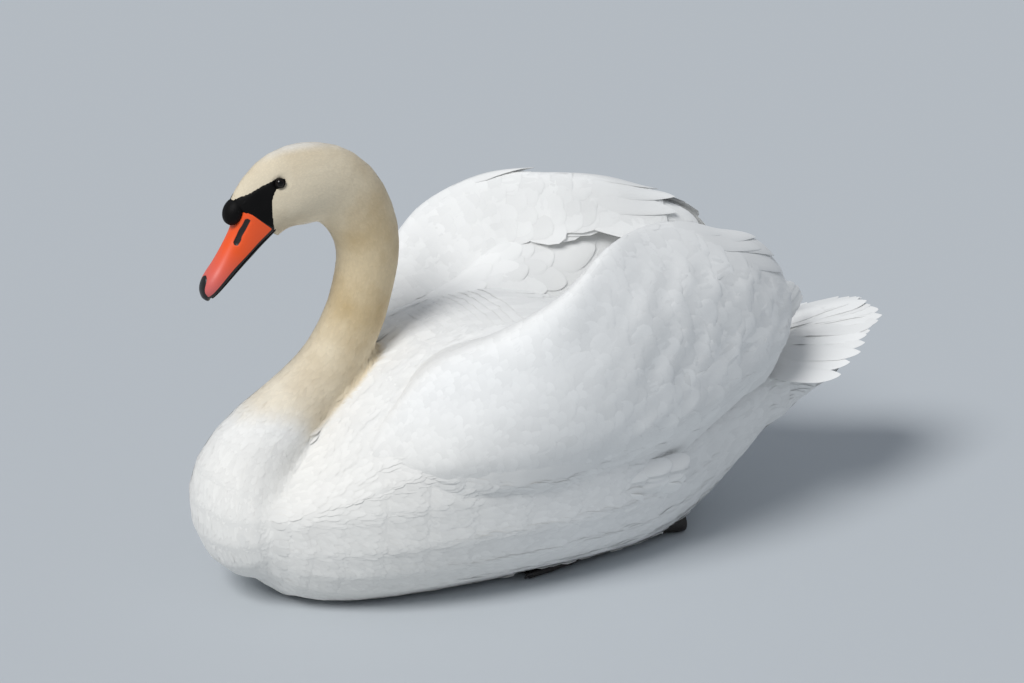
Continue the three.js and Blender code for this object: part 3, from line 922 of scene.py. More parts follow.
    def build(self, coating: Coating) -> Shell:
        """Makes the skin piece.

        Args:
            coating: The plumage's finish and marking, which the skin shares.

        Returns:
            The skin's surface, to lay feathers on.
        """
        mesh = self.join_flesh()
        edges = read(mesh.edges, "vertices", 2, np.int32)
        points = self.thin_tail(self.smooth(read(mesh.vertices, "co").astype(float), edges))
        write(mesh.vertices, "co", points)
        mesh.update()
        normals = read(mesh.vertices, "normal")
        points = self.fill_fold(points, normals, edges)
        points = points - normals * (self.coat_depth(points) + self.seal)[:, None]
        for swelling in self.swellings:
            points = swelling.push(points, normals)
        points[:, 2] = np.maximum(points[:, 2], FLOOR_CLEARANCE)
        write(mesh.vertices, "co", points)
        write(mesh.polygons, "use_smooth", np.ones(len(mesh.polygons)), bool)
        mesh.update()
        mark(mesh, stain=coating.stain.at(points), shade=0.0, along=self.bare_along)
        mesh.name = "skin"
        mount(link("skin", mesh), coating.material, self.nodes)
        return Shell(read(mesh.vertices, "co").astype(float), [p.vertices for p in mesh.polygons])


# ---------------------------------------------------------------------------- feathers as meshes


@dataclass
class Feathers:
    """Many like feathers as arrays, ready to be joined into one mesh."""

    vertices: Array  # shaped (feathers, points per feather, 3)
    facing: Array  # the plumage's own normal at each point, shaped the same
    faces: list[Face]  # of one feather
    across: Array  # each point's place across its feather, from 0 to 1
    along: Array  # and along it
    places: Array  # each root's place on the unwrapped skin, shaped (feathers, 2)
    softness: Array | float  # share of the plumage's normal in the shading, so that barbs run together

    def soften(self, mesh: bpy.types.Mesh, corners: Array, starts: Array, sizes: Array) -> None:
        """Shades the feathers partly by the plumage's own normals.

        Args:
            mesh: The joined feathers.
            corners: Vertex number of every corner.
            starts: First corner of every face.
            sizes: Number of corners of every face.
        """
        count, size, _ = self.vertices.shape
        soft = unit(self.facing.reshape(-1, 3))
        over = np.add.reduceat(soft[corners], starts, axis=0)
        under = np.sum(read(mesh.polygons, "normal") * over, axis=1) < 0
        sign = np.where(np.repeat(under, sizes), -1.0, 1.0)[:, None]
        share = np.repeat(np.broadcast_to(self.softness, count), size)[corners][:, None]
        own = read(mesh.vertices, "normal")[corners]
        blend = unit(own * (1 - share) + soft[corners] * sign * share)
        mesh.normals_split_custom_set(blend.tolist())

    def join(self, name: str, stain: Stain, seed: int) -> bpy.types.Object:
        """Joins the feathers into one mesh, with their markings and bake map.

        Args:
            name: The piece's name.
            stain: The marking on the coat.
            seed: Seed of the small differences between feathers.

        Returns:
            The coat piece.
        """
        count, size, _ = self.vertices.shape
        pattern = np.concatenate([np.array(f) for f in self.faces])
        corners = (np.arange(count)[:, None] * size + pattern[None, :]).ravel()
        sizes = np.tile([len(f) for f in self.faces], count)
        flat = self.vertices.reshape(-1, 3)
        mesh = bpy.data.meshes.new(name)
        starts = fill_mesh(mesh, flat, corners, sizes)
        shades = np.random.default_rng(seed).uniform(-1, 1, count)
        mark(mesh, stain=stain.at(flat), shade=np.repeat(shades, size), along=np.tile(self.along, count))
        spots = np.column_stack([self.across, self.along])[pattern]
        uv = self.places[:, None] * (1 - TUFT_PATCH) + spots[None] * TUFT_PATCH
        write(mesh.uv_layers.new(name=BAKE_MAP).data, "uv", uv)
        self.soften(mesh, corners, starts, sizes)
        return link(name, mesh)


@dataclass
class Tufts:
    """Many small contour feathers of one coat piece, each a thin closed leaf of sixteen triangles.

    Arrays hold one row per feather: where it leaves the skin, which way it lies, the skin's normal,
    and its sizes in metres.
    """

    roots: Array
    lies: Array
    normals: Array
    lengths: Array
    widths: Array
    lifts: Array
    places: Array  # the root's place on the unwrapped skin, each from 0 to 1
    thickness: float = 0.13 * MM
    sink: float = 0.4 * MM
    softness: float = 0.95
    loosest: float = 0.26  # furthest that a flat feather's tip may be from the skin, in its own lengths
    turn: float = 0.25  # least likeness of the skin's normals at root and tip
    leave_slope: float = 0.04
    root_share: float = 0.6  # how much the root's normal counts at the tip
    shares: tuple[float, ...] = (0.0, 0.48, 0.85)
    spreads: tuple[float, ...] = (0.42, 1.0, 0.66)

    @property
    def ends(self) -> Array:
        """Where the tips would be if the feathers were straight and flat."""
        return self.roots + self.lies * self.lengths[:, None]

    def pick(self, keep: Array) -> "Tufts":
        """The same feathers without those that keep leaves out."""
        names = ("roots", "lies", "normals", "lengths", "widths", "lifts", "places")
        return replace(self, **{name: getattr(self, name)[keep] for name in names})

    def clinging(self, shell: Shell) -> "Tufts":
        """The feathers that can lie on the skin, without those that would bridge a fold or stick out.

        Args:
            shell: The skin.

        Returns:
            The feathers that stay.
        """
        _, normals, gaps = shell.nearest(self.ends)
        alike = np.sum(normals * self.normals, axis=1)
        return self.pick((gaps < self.loosest * self.lengths) & (alike > self.turn))

    def paths(self, shell: Shell) -> tuple[Array, Array]:
        """Centre points and normals of each feather's rings and tip, following the skin.

        Args:
            shell: The skin that the feathers lie on.

        Returns:
            Points and normals, each shaped (feathers, rings + 1, 3).
        """
        start = self.roots - self.normals * self.sink
        places, normals, _ = shell.nearest(self.ends)
        normals = unit(normals + self.root_share * self.normals)
        end = places + normals * self.lifts[:, None]
        handle = np.linalg.norm(end - start, axis=1, keepdims=True) / 3
        leave = unit(self.lies + self.normals * self.leave_slope)
        arrive = unit(self.lies - normals * dot(self.lies, normals))
        first, second = start + leave * handle, end - arrive * handle
        t = np.array([*self.shares, 1.0])[None, :, None]
        points = (
            (1 - t) ** 3 * start[:, None] + 3 * (1 - t) ** 2 * t * first[:, None]
            + 3 * (1 - t) * t**2 * second[:, None] + t**3 * end[:, None]
        )
        return points, unit(self.normals[:, None] * (1 - t) + normals[:, None] * t)

    def leaf(self) -> list[Face]:
        """One feather's faces: rows of left edge, ridge and right edge, and the tip.

        Returns:
            The faces.
        """
        tip = len(self.shares) * 3
        faces: list[Face] = [(0, 2, 1)]
        for a in range(0, tip - 3, 3):
            b = a + 3
            faces += [(a, a + 1, b + 1, b), (a + 1, a + 2, b + 2, b + 1), (a, b, b + 2, a + 2)]
        last = tip - 3
        return faces + [(last, last + 1, tip), (last + 1, last + 2, tip), (last, tip, last + 2)]

    def build(self, name: str, shell: Shell, stain: Stain, seed: int) -> bpy.types.Object:
        """Makes the joined mesh.

        Args:
            name: The piece's name.
            shell: The skin that the feathers lie on.
            stain: The marking on the coat.
            seed: Seed of the small differences between feathers.

        Returns:
            The coat piece.
        """
        count, rings = len(self.roots), len(self.shares)
        centres, normals = self.paths(shell)
        across = unit(np.cross(unit(np.gradient(centres, axis=1)), normals))[:, :rings]
        spread = (self.widths[:, None] / 2 * np.array(self.spreads))[..., None]
        middle = centres[:, :rings]
        ridge = middle + normals[:, :rings] * self.thickness
        body = np.stack([middle - across * spread, ridge, middle + across * spread], axis=2)
        vertices = np.concatenate([body.reshape(count, rings * 3, 3), centres[:, rings:]], axis=1)
        vertices[..., 2] = np.maximum(vertices[..., 2], FLOOR_CLEARANCE)
        soft = np.concatenate([np.repeat(normals[:, :rings], 3, axis=1), normals[:, rings:]], axis=1)
        local_u = np.array([0.0, 0.5, 1.0] * rings + [0.5])
        local_v = np.repeat([*self.shares, 1.0], [3] * rings + [1])
        feathers = Feathers(vertices, soft, self.leaf(), local_u, local_v, self.places, self.softness)
        return feathers.join(name, stain, seed)


# ---------------------------------------------------------------------------- contour plumage


@dataclass(frozen=True)
class Row:
    """Feather sizes at one place along a row of places, all but the place in millimetres."""

    at: float
    length: float
    width: float
    row_gap: float
    side_gap: float
    lift: float  # how high the tip lies


def row_size(rows: tuple[Row, ...], name: str, at: Array | float, scale: float = 1.0) -> Array:
    """One of the sizes at places along rows, in metres.

    Args:
        rows: The sizes.
        name: Which of them.
        at: The places.
        scale: What a row's own place is multiplied by.

    Returns:
        The size at each place.
    """
    return np.interp(at, [row.at * scale for row in rows], [getattr(row, name) * MM for row in rows])


@dataclass
class Tract:
    """Rows of contour feathers in rings round a line through the body, staggered like shingles."""

    name: str
    slot: str
    rows: tuple[Row, ...]
    start: float
    end: float
    seed: int
    downward: float = 0.0  # how far the lie leans towards the floor
    rays: int = 240
    reach: float = 0.24
    fewest: int = 6
    jitter: float = 0.4  # of the gap between neighbours
    lie_jitter: float = 0.06

    def size(self, name: str, at: Array | float) -> Array:
        """One of the sizes at distances along the tract, in metres."""
        return row_size(self.rows, name, at, MM)

    def stations(self) -> list[float]:
        """Distances of the rings along the line.

        Returns:
            The distances in metres.
        """
        places, here = [], self.start
        while here < self.end:
            places.append(here)
            here += float(self.size("row_gap", here))
        return places

    def ring(
        self, number: int, at: float, line: Line, shell: Shell, rng: np.random.Generator,
    ) -> tuple[Array, ...] | None:
        """Places the feathers of one ring.

        Args:
            number: The ring's number, since every second ring is staggered.
            at: Its distance along the line.
            line: The line that it stands round.
            shell: The skin.
            rng: Source of small differences.

        Returns:
            Roots, lies, normals, distances, shares of the tract and shares of a turn, or None where too
            little skin is met.
        """
        points, tangents, distances = line
        centre = np.array([np.interp(at, distances, points[:, k]) for k in range(3)])
        tangent = unit(np.array([np.interp(at, distances, tangents[:, k]) for k in range(3)]))
        sideways = np.array([1.0, 0.0, 0.0])
        angles = np.linspace(-math.pi, math.pi, self.rays, endpoint=False)
        out = np.cos(angles)[:, None] * np.cross(sideways, tangent) + np.sin(angles)[:, None] * sideways
        places, normals, met = shell.cast(np.tile(centre, (self.rays, 1)), out, self.reach)
        if met.sum() < self.rays // 3:
            return None
        places, normals, kept = places[met], normals[met], angles[met]
        loop, wrapped = np.vstack([places, places[:1]]), np.vstack([normals, normals[:1]])
        steps = distances_along(loop)
        count = max(self.fewest, int(steps[-1] / float(self.size("side_gap", at))))
        marks = np.arange(count) + 0.5 * (number % 2) + rng.uniform(-self.jitter, self.jitter, count)
        marks = marks % count / count * steps[-1]
        spot = np.column_stack([np.interp(marks, steps, loop[:, k]) for k in range(3)])
        normal = unit(np.column_stack([np.interp(marks, steps, wrapped[:, k]) for k in range(3)]))
        turn = np.interp(marks, steps, np.append(kept, kept[0] + 2 * math.pi)) / (2 * math.pi) + 0.5
        lie = np.tile(tangent, (count, 1)) + [0, 0, -self.downward]
        share = np.full(count, (at - self.start) / (self.end - self.start))
        return spot, lie, normal, np.full(count, at), share, turn

    def rings(self, line: Line, shell: Shell) -> Tufts:
        """Places the feathers of every ring.

        Args:
            line: The line that the rings stand round.
            shell: The skin.

        Returns:
            The feathers, before any are left out.
        """
        rng = np.random.default_rng(self.seed)
        parts = [self.ring(number, at, line, shell, rng) for number, at in enumerate(self.stations())]
        columns = zip(*(part for part in parts if part is not None))
        spot, lie, normal, at, share, turn = (np.concatenate(column) for column in columns)
        lie = lie + rng.normal(0, self.lie_jitter, lie.shape)
        lie = unit(lie - normal * dot(lie, normal))
        spot = spot + lie * (rng.uniform(-0.5, 0.5, len(spot)) * self.size("row_gap", at))[:, None]
        return Tufts(
            roots=spot, lies=lie, normals=normal,
            lengths=self.size("length", at) * rng.uniform(0.86, 1.14, len(spot)),
            widths=self.size("width", at) * rng.uniform(0.9, 1.1, len(spot)),
            lifts=self.size("lift", at) * rng.uniform(0.6, 1.4, len(spot)),
            places=np.column_stack([np.clip(turn, 0, 1), share]),
        )

    def build(self, line: Line, shell: Shell, coating: Coating, keep: Callable[[Tufts], Array]) -> None:
        """Makes the coat piece.

        Args:
            line: The line that the rings stand round.
            shell: The skin.
            coating: The feathers' finish and marking.
            keep: Tells which feathers stay.
        """
        tufts = self.rings(line, shell)
        tufts = tufts.pick(keep(tufts)).clinging(shell)
        mount(tufts.build(self.name, shell, coating.stain, self.seed), coating.material)


# ---------------------------------------------------------------------------- large feathers


@dataclass(frozen=True)
class LeafShape:
    """Outline and cross-section of a large feather, a closed leaf of two grids of points."""

    rings: int = 8
    columns: int = 5
    quill: float = 0.3  # width at the root as a share of the full width
    fullest: float = 0.45
    round_from: float = 0.72
    tip: float = 0.14
    blunt: float = 2.2  # 2 is a round tip, less is pointed
    thickness: float = 0.32 * MM
    camber: float = 0.55 * MM
    shaft: float = 0.18 * MM
    crowding: float = 1.15  # how much closer together the rings are at the tip

    @property
    def shares(self) -> Array:
        """Places of the rings from root to tip."""
        return np.sin(np.linspace(0, math.pi / 2, self.rings)) ** self.crowding

    @property
    def sides(self) -> Array:
        """Places of the columns across the feather, from -1 to 1."""
        return np.linspace(-1, 1, self.columns)

    def widths(self) -> Array:
        """Half widths of the rings.

        Returns:
            Shares of the full half width.
        """
        rise = self.quill + (1 - self.quill) * smoothstep(self.shares, 0.0, self.fullest)
        past = np.clip((self.shares - self.round_from) / (1 - self.round_from), 0, 1)
        return rise * np.maximum(self.tip, (1 - past**self.blunt) ** (1 / self.blunt))

    def heights(self) -> Array:
        """Height of each grid point over the feather's own plane, shaped (rings, columns)."""
        roof = self.camber * (1 - self.sides**2) + self.shaft * (self.sides == 0)
        return np.tile(roof, (self.rings, 1)) * (1 - 0.5 * self.shares)[:, None]

    def faces(self) -> list[Face]:
        """Faces of the leaf: an upper grid, a lower grid and the wall between them.

        Returns:
            The faces.
        """
        rings, columns = self.rings, self.columns
        under = rings * columns
        faces: list[Face] = []
        for row in range(rings - 1):
            for a in range(row * columns, row * columns + columns - 1):
                b = a + columns
                faces += [(a, a + 1, b + 1, b), (under + a, under + b, under + b + 1, under + a + 1)]
        rim = [*range(columns), *range(2 * columns - 1, under, columns)]
        rim += [*range(under - 2, under - columns - 1, -1), *range(under - 2 * columns, 0, -columns)]
        for here, beside in zip(rim, rim[1:] + rim[:1]):
            faces.append((here, under + here, under + beside, beside))
        return faces

    def both(self, upper: Array, facing: Array) -> tuple[Array, Array]:
        """Adds the lower grid under each feather's upper one.

        Args:
            upper: Points of the upper faces, shaped (feathers, rings, columns, 3).
            facing: The way that they look, shaped the same.

        Returns:
            Points and facing, shaped (feathers, points per feather, 3).
        """
        pairs = (upper, upper - facing * self.thickness), (facing, -facing)
        shape = (len(upper), -1, 3)
        return tuple(np.concatenate([a.reshape(shape), b.reshape(shape)], axis=1) for a, b in pairs)


@dataclass
class Leaves:
    """Large feathers of one piece, made for the left side."""

    points: Array  # shaped (feathers, points per feather, 3)
    facing: Array
    shape: LeafShape
    places: Array  # each root's place on the bake map
    softness: Array | float

    def build(self, name: str, side: Side, coating: Coating, seed: int, nodes: Sequence[str] = ()) -> None:
        """Joins the feathers into one finished piece on either side.

        Args:
            name: The piece's name.
            side: The side that it is for.
            coating: The feathers' finish and marking.
            seed: Seed of the small differences between feathers.
            nodes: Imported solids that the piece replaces.
        """
        faces = self.shape.faces()
        if side is Side.RIGHT:
            faces = [face[::-1] for face in faces]
        across = np.tile((self.shape.sides + 1) / 2, 2 * self.shape.rings)
        along = np.tile(np.repeat(self.shape.shares, self.shape.columns), 2)
        points, facing = self.points * side.mirror, self.facing * side.mirror
        feathers = Feathers(points, facing, faces, across, along, self.places, self.softness)
        mount(feathers.join(name, coating.stain, seed), coating.material, nodes)


@dataclass
class FreeVanes:
    """Large feathers that stand free in space."""

    roots: Array
    tips: Array
    outs: Array  # the way that each upper face looks
    widths: Array
    bows: Array  # how far the middle of each bends towards its upper face
    shape: LeafShape

    def points(self) -> tuple[Array, Array]:
        """Points of all feathers and their facing there.

        Returns:
            Both, shaped (feathers, points per feather, 3).
        """
        shape = self.shape
        shares = shape.shares[None, :, None]
        outs = unit(self.outs)[:, None]
        centre = (
            self.roots[:, None] * (1 - shares) + self.tips[:, None] * shares
            + outs * (4 * self.bows[:, None, None] * shares * (1 - shares))
        )
        lie = unit(np.gradient(centre, axis=1))
        across = unit(np.cross(lie, outs))
        facing = np.cross(across, lie)[:, :, None]
        reach = (self.widths[:, None] / 2 * shape.widths()[None, :])[:, :, None, None]
        upper = (
            centre[:, :, None] + across[:, :, None] * reach * shape.sides[None, None, :, None]
            + facing * shape.heights()[None, :, :, None]
        )
        return shape.both(upper, np.broadcast_to(facing, upper.shape))


@dataclass(frozen=True)
class RailSurface:
    """A smooth surface through rails; t is the share along them and v the share from first to last."""

    rails: tuple[Rail, ...]  # x, y, z in millimetres
    step: float = 0.006

    def inside(self, t: Array, v: Array) -> Array:
        """Points of the surface.

        Args:
            t: Shares along the rails, from 0 to 1.
            v: Shares from the first rail to the last, from 0 to 1.

        Returns:
            The points, with the shape of t and 3 added.
        """
        flat_t, flat_v = np.ravel(t), np.ravel(v)
        ribs = np.stack([spline(np.array(rail) * MM, flat_t) for rail in self.rails], axis=1)
        return spline(ribs, flat_v).reshape(*np.shape(t), 3)

    def at(self, t: Array, v: Array) -> Array:
        """Points of the surface, carried on straight past its edges.

        Args:
            t: Shares along the rails.
            v: Shares from the first rail to the last.

        Returns:
            The points, with the shape of t and 3 added.
        """
        t, v = np.broadcast_arrays(np.asarray(t, float), np.asarray(v, float))
        near_t, near_v = np.clip(t, 0, 1), np.clip(v, 0, 1)
        back_t, back_v = np.clip(near_t - self.step, 0, 1), np.clip(near_v - self.step, 0, 1)
        front_t, front_v = np.clip(near_t + self.step, 0, 1), np.clip(near_v + self.step, 0, 1)
        on_t = self.inside(front_t, near_v) - self.inside(back_t, near_v)
        on_v = self.inside(near_t, front_v) - self.inside(near_t, back_v)
        past_t = ((t - near_t) / (front_t - back_t))[..., None]
        past_v = ((v - near_v) / (front_v - back_v))[..., None]
        return self.inside(near_t, near_v) + on_t * past_t + on_v * past_v

    def slopes(self, t: Array, v: Array) -> tuple[Array, Array, Array]:
        """How the surface runs.

        Args:
            t: Shares along the rails.
            v: Shares from the first rail to the last.

        Returns:
            Its change with t, its change with v, and its outward normal.
        """
        along = (self.at(t + self.step, v) - self.at(t - self.step, v)) / (2 * self.step)
        across = (self.at(t, v + self.step) - self.at(t, v - self.step)) / (2 * self.step)
        return along, across, unit(np.cross(along, across))

    def turned(self, t: Array, v: Array, ways: Array) -> Array:
        """The steps in t and v that move along the surface by given ways.

        Args:
            t: Shares along the rails.
            v: Shares from the first rail to the last.
            ways: Vectors that lie in the surface there.

        Returns:
            The steps, shaped as t with 2 added.
        """
        along, across, _ = self.slopes(t, v)
        tt, tv, vv = (np.sum(a * b, axis=-1) for a, b in ((along, along), (along, across), (across, across)))
        on_t, on_v = np.sum(ways * along, axis=-1), np.sum(ways * across, axis=-1)
        det = tt * vv - tv * tv
        return np.stack([(vv * on_t - tv * on_v) / det, (tt * on_v - tv * on_t) / det], axis=-1)

    def thick(self, t: Array, v: Array) -> Array:
        """The thickness under the surface, in metres."""
        return np.zeros(np.shape(t))


@dataclass(frozen=True)
class WingArch(RailSurface):
    """The left wing's outer surface, arched over the back.

    Its rails run from the wrist to the feather tips: low edge, lower bulge, upper bulge, rim and
    inner edge.
    """

    rails: tuple[Rail, ...] = (
        (
            (121, -240, 144), (154, -186, 137), (167, -130, 133), (164.5, -75, 127), (156.5, -20, 130),
            (148, 40, 136), (133, 92, 134), (113, 158, 163), (94, 218, 188), (68, 248, 226),
        ),
        (
            (124, -246, 158), (163, -190, 172), (179, -127, 178), (184, -62, 181), (179, 0, 182),
            (169, 58, 184), (153, 112, 189), (132, 168, 200), (106, 220, 217), (67, 250, 237),
        ),
        (
            (115, -246, 178), (148, -188, 212), (170, -124, 236), (183, -62, 254), (179, -4, 279),
            (160, 58, 294), (141, 112, 294), (121, 166, 284), (94, 216, 262), (66, 250, 248),
        ),
        (
            (99, -239, 194), (113, -186, 251), (139, -122, 284), (161, -66, 324), (138, -8, 355),
            (104, 52, 359), (87, 106, 352), (77, 154, 333), (67, 202, 313), (58, 241, 274),
        ),
        (
            (79, -227, 199), (64, -172, 243), (72, -114, 260), (86, -60, 265), (93, -2, 293),
            (72, 56, 304), (59, 106, 308), (51, 150, 302), (44, 196, 287), (43, 236, 261),
        ),
    )
    thickness: tuple[float, ...] = (4, 14, 22, 22, 17, 13, 10, 8, 6, 4.5)
    thinnest: float = 3.0
    edge_share: float = 0.25  # thickness at the edges against the middle
    puff: float = 3.2 * MM  # height of the soft lumps in the hind part
    puff_way: tuple[float, float, float] = (0.94, 0.0, 0.34)

    def inside(self, t: Array, v: Array) -> Array:
        """Points of the surface, with its soft lumps.

        Args:
            t: Shares along the rails, from 0 to 1.
            v: Shares from the first rail to the last, from 0 to 1.

        Returns:
            The points, with the shape of t and 3 added.
        """
        turn = 2 * math.pi
        first = np.sin(turn * (8.3 * t + 1.2 * v) + 0.5) * np.sin(turn * (4.6 * v - 1.7 * t) + 1.1)
        second = np.sin(turn * (12.1 * t - 2.9 * v)) * np.sin(turn * (6.3 * v + 3.1 * t) + 2.0)
        room = smoothstep(t, 0.30, 0.55) * smoothstep(v, 0.0, 0.15) * (1 - smoothstep(v, 0.52, 0.70))
        lump = self.puff * room * (0.5 + 0.35 * first + 0.25 * second)
        return super().inside(t, v) + lump[..., None] * np.array(self.puff_way)

    def thick(self, t: Array, v: Array) -> Array:
        """The wing's thickness.

        Args:
            t: Shares along the rails.
            v: Shares from the first rail to the last.

        Returns:
            The thickness in metres.
        """
        marks = np.linspace(0, 1, len(self.thickness))
        full = np.interp(np.clip(t, 0, 1), marks, self.thickness)
        arch = np.clip(np.sin(math.pi * np.clip(v, 0, 1)), 0, 1) ** 0.6
        return np.maximum(self.thinnest, full * (self.edge_share + (1 - self.edge_share) * arch)) * MM


@dataclass
class LaidVanes:
    """Large feathers laid in a surface, each given by the shares t and v of root and tip."""

    surface: RailSurface
    roots: Array
    tips: Array
    widths: Array
    base: Array  # height of the roots over the surface
    rise: Array  # how much higher the tips are
    tilt: Array  # how much the upper side stands over the lower one, as a slope
    shape: LeafShape
    inner: bool = False  # laid on the surface's inner face
    slow: float = 1.3  # how late along the feather the rise comes

    def points(self) -> tuple[Array, Array]:
        """Points of all feathers and the surface's normals there.

        Returns:
            Both, shaped (feathers, points per feather, 3).
        """
        shape, surface = self.shape, self.surface
        shares = shape.shares[None, :, None]
        centre = self.roots[:, None] * (1 - shares) + self.tips[:, None] * shares
        t, v = centre[..., 0], centre[..., 1]
        sign = -1 if self.inner else 1
        outward = surface.slopes(t, v)[2] * sign
        beside = unit(np.cross(unit(np.gradient(surface.at(t, v), axis=1)), outward))
        reach = self.widths[:, None] / 2 * shape.widths()[None, :]
        spread = (reach[:, :, None] * shape.sides[None, None, :])[..., None]
        grid = centre[:, :, None, :] + surface.turned(t, v, beside)[:, :, None, :] * spread
        t, v = grid[..., 0], grid[..., 1]
        facing = surface.slopes(t, v)[2] * sign
        points = surface.at(t, v)
        if self.inner:
            points = points + facing * surface.thick(t, v)[..., None]
        height = (
            self.base[:, None, None] + self.rise[:, None, None] * (shape.shares**self.slow)[None, :, None]
            + shape.heights()[None]
            + self.tilt[:, None, None] * reach[:, :, None] * shape.sides[None, None, :]
        )
        return shape.both(points + facing * height[..., None], facing)

    def leaves(self, softness: Array | float) -> Leaves:
        """The feathers ready to be joined, with a share of the surface's normal in their shading."""
        return Leaves(*self.points(), self.shape, np.clip(self.roots, 0, 1), softness)


@dataclass
class Layer:
    """Staggered rows of feathers laid over a surface like tiles, made for the left side."""

    surface: RailSurface
    rows: tuple[Row, ...]
    span: tuple[float, float]  # first and last root, as shares t
    band: tuple[float, float]  # lowest and highest root, as shares v
    shape: LeafShape
    seed: int
    inner: bool = False  # whether they lie on the surface's other face
    rising: float = 0.0  # degrees that they turn up from the rails in the lower half
    ends: Callable[[Array], Array] | None = None  # share t where they end at shares v, if before the rails
    depth: float = 1.1 * MM  # of the roots under the surface
    shortest: float = 0.07  # least room for a feather before the end, as a share of the length
    samples: int = 60
    middle: float = 0.45  # share v at which the surface's length is measured
    jitter: float = 0.12
    past_edge: float = 0.03

    def roots(self, rng: np.random.Generator) -> Array:
        """Staggered places of the roots.

        Args:
            rng: Source of small differences.

        Returns:
            Shares t and v, shaped (feathers, 2).
        """
        middle = self.surface.at(np.linspace(0, 1, 50), np.full(50, self.middle))
        length = np.linalg.norm(np.diff(middle, axis=0), axis=1).sum()
        v = np.linspace(*self.band, self.samples)
        places, t, number = [], self.span[0], 0
        while t < self.span[1]:
            steps = distances_along(self.surface.at(np.full(self.samples, t), v))
            count = max(3, int(steps[-1] / float(row_size(self.rows, "side_gap", t))))
            jitter = rng.uniform(-self.jitter, self.jitter, count)
            marks = (np.arange(count) + 0.25 + 0.5 * (number % 2) + jitter) / count
            row_gap = float(row_size(self.rows, "row_gap", t)) / length
            here = t + rng.uniform(-self.jitter, self.jitter, count) * row_gap
            places.append(np.column_stack([here, np.interp(marks * steps[-1], steps, v)]))
            t += row_gap
            number += 1
        return np.vstack(places)

    def vanes(self) -> LaidVanes:
        """Lays the feathers.

        Returns:
            The laid feathers.
        """
        rng = np.random.default_rng(self.seed)
        root = self.roots(rng)
        if self.ends is not None:
            root = root[self.ends(root[:, 1]) - root[:, 0] > self.shortest]
        t, v = root[:, 0], root[:, 1]
        along, across, _ = self.surface.slopes(t, v)
        lie = unit(along)
        up = unit(across - lie * dot(across, lie))
        turn = smoothstep(v, 0.0, 0.3) * (1 - smoothstep(v, 0.5, 0.74))
        angle = np.radians(self.rising * turn + rng.normal(0, 2.5, len(t)))
        direction = lie * np.cos(angle)[:, None] + up * np.sin(angle)[:, None]
        reach = row_size(self.rows, "length", t) * rng.uniform(0.92, 1.08, len(t))
        step = self.surface.turned(t, v, direction) * reach[:, None]
        if self.ends is not None:
            room = self.ends(v) - t
            step = step * np.minimum(1, room / np.maximum(step[:, 0], 1e-6))[:, None]
        tip = root + step
        tip[:, 1] = np.clip(tip[:, 1], -self.past_edge, 1 + self.past_edge)
        return LaidVanes(
            surface=self.surface, roots=root, tips=tip,
            widths=row_size(self.rows, "width", t) * rng.uniform(0.92, 1.08, len(t)),
            base=np.full(len(t), -self.depth),
            rise=row_size(self.rows, "lift", t) * rng.uniform(0.75, 1.25, len(t)),
            tilt=rng.normal(0.0, 0.006, len(t)),
            shape=self.shape, inner=self.inner,
        )


# ---------------------------------------------------------------------------- wings


@dataclass(frozen=True)
class WingEnd:
    """Where a wing's feathers end, as shares t at shares v, and how far the last tips droop."""

    v: tuple[float, ...] = (0, 0.1, 0.3, 0.6, 0.68, 0.75, 0.85, 1)
    coverts: tuple[float, ...] = (0.93, 0.945, 0.95, 0.95, 0.945, 0.93, 0.92, 0.90)
    flights: tuple[float, ...] = (0.93, 0.96, 0.975, 0.975, 0.975, 0.975, 0.965, 0.94)
    droop: tuple[float, ...] = (0, 0, 0, 0, 0, 0, 0, 0)  # in millimetres

    def last(self, v: Array) -> Array:
        """Where the coverts end."""
        return np.interp(v, self.v, self.coverts)


@dataclass(frozen=True)
class Plume:
    """A loose, pointed feather on the wing's crest."""

    t: float  # place of its tip
    v: float
    length: float  # share of the wing's length
    lift: float  # height of the tip over the wing, in millimetres


ENDS = {
    Side.LEFT: WingEnd(),
    Side.RIGHT: WingEnd(
        coverts=(0.93, 0.95, 0.965, 0.93, 0.85, 0.79, 0.81, 0.82),
        flights=(0.93, 0.965, 0.99, 0.96, 0.92, 0.90, 0.92, 0.92),
        droop=(0, 0, 0, 2, 9, 12, 9, 5),
    ),
}
PLUMES = {
    Side.LEFT: (
        Plume(0.885, 0.74, 0.20, 4), Plume(0.88, 0.67, 0.20, 3), Plume(0.94, 0.69, 0.20, 4),
        Plume(0.955, 0.62, 0.18, 3), Plume(0.80, 0.73, 0.18, 2),
    ),
    Side.RIGHT: (
        Plume(0.81, 0.74, 0.20, 5), Plume(0.845, 0.80, 0.22, 4), Plume(0.845, 0.90, 0.22, 3),
        Plume(0.80, 0.84, 0.20, 2), Plume(0.535, 0.73, 0.12, 5), Plume(0.90, 0.90, 0.2, -4),
    ),
}


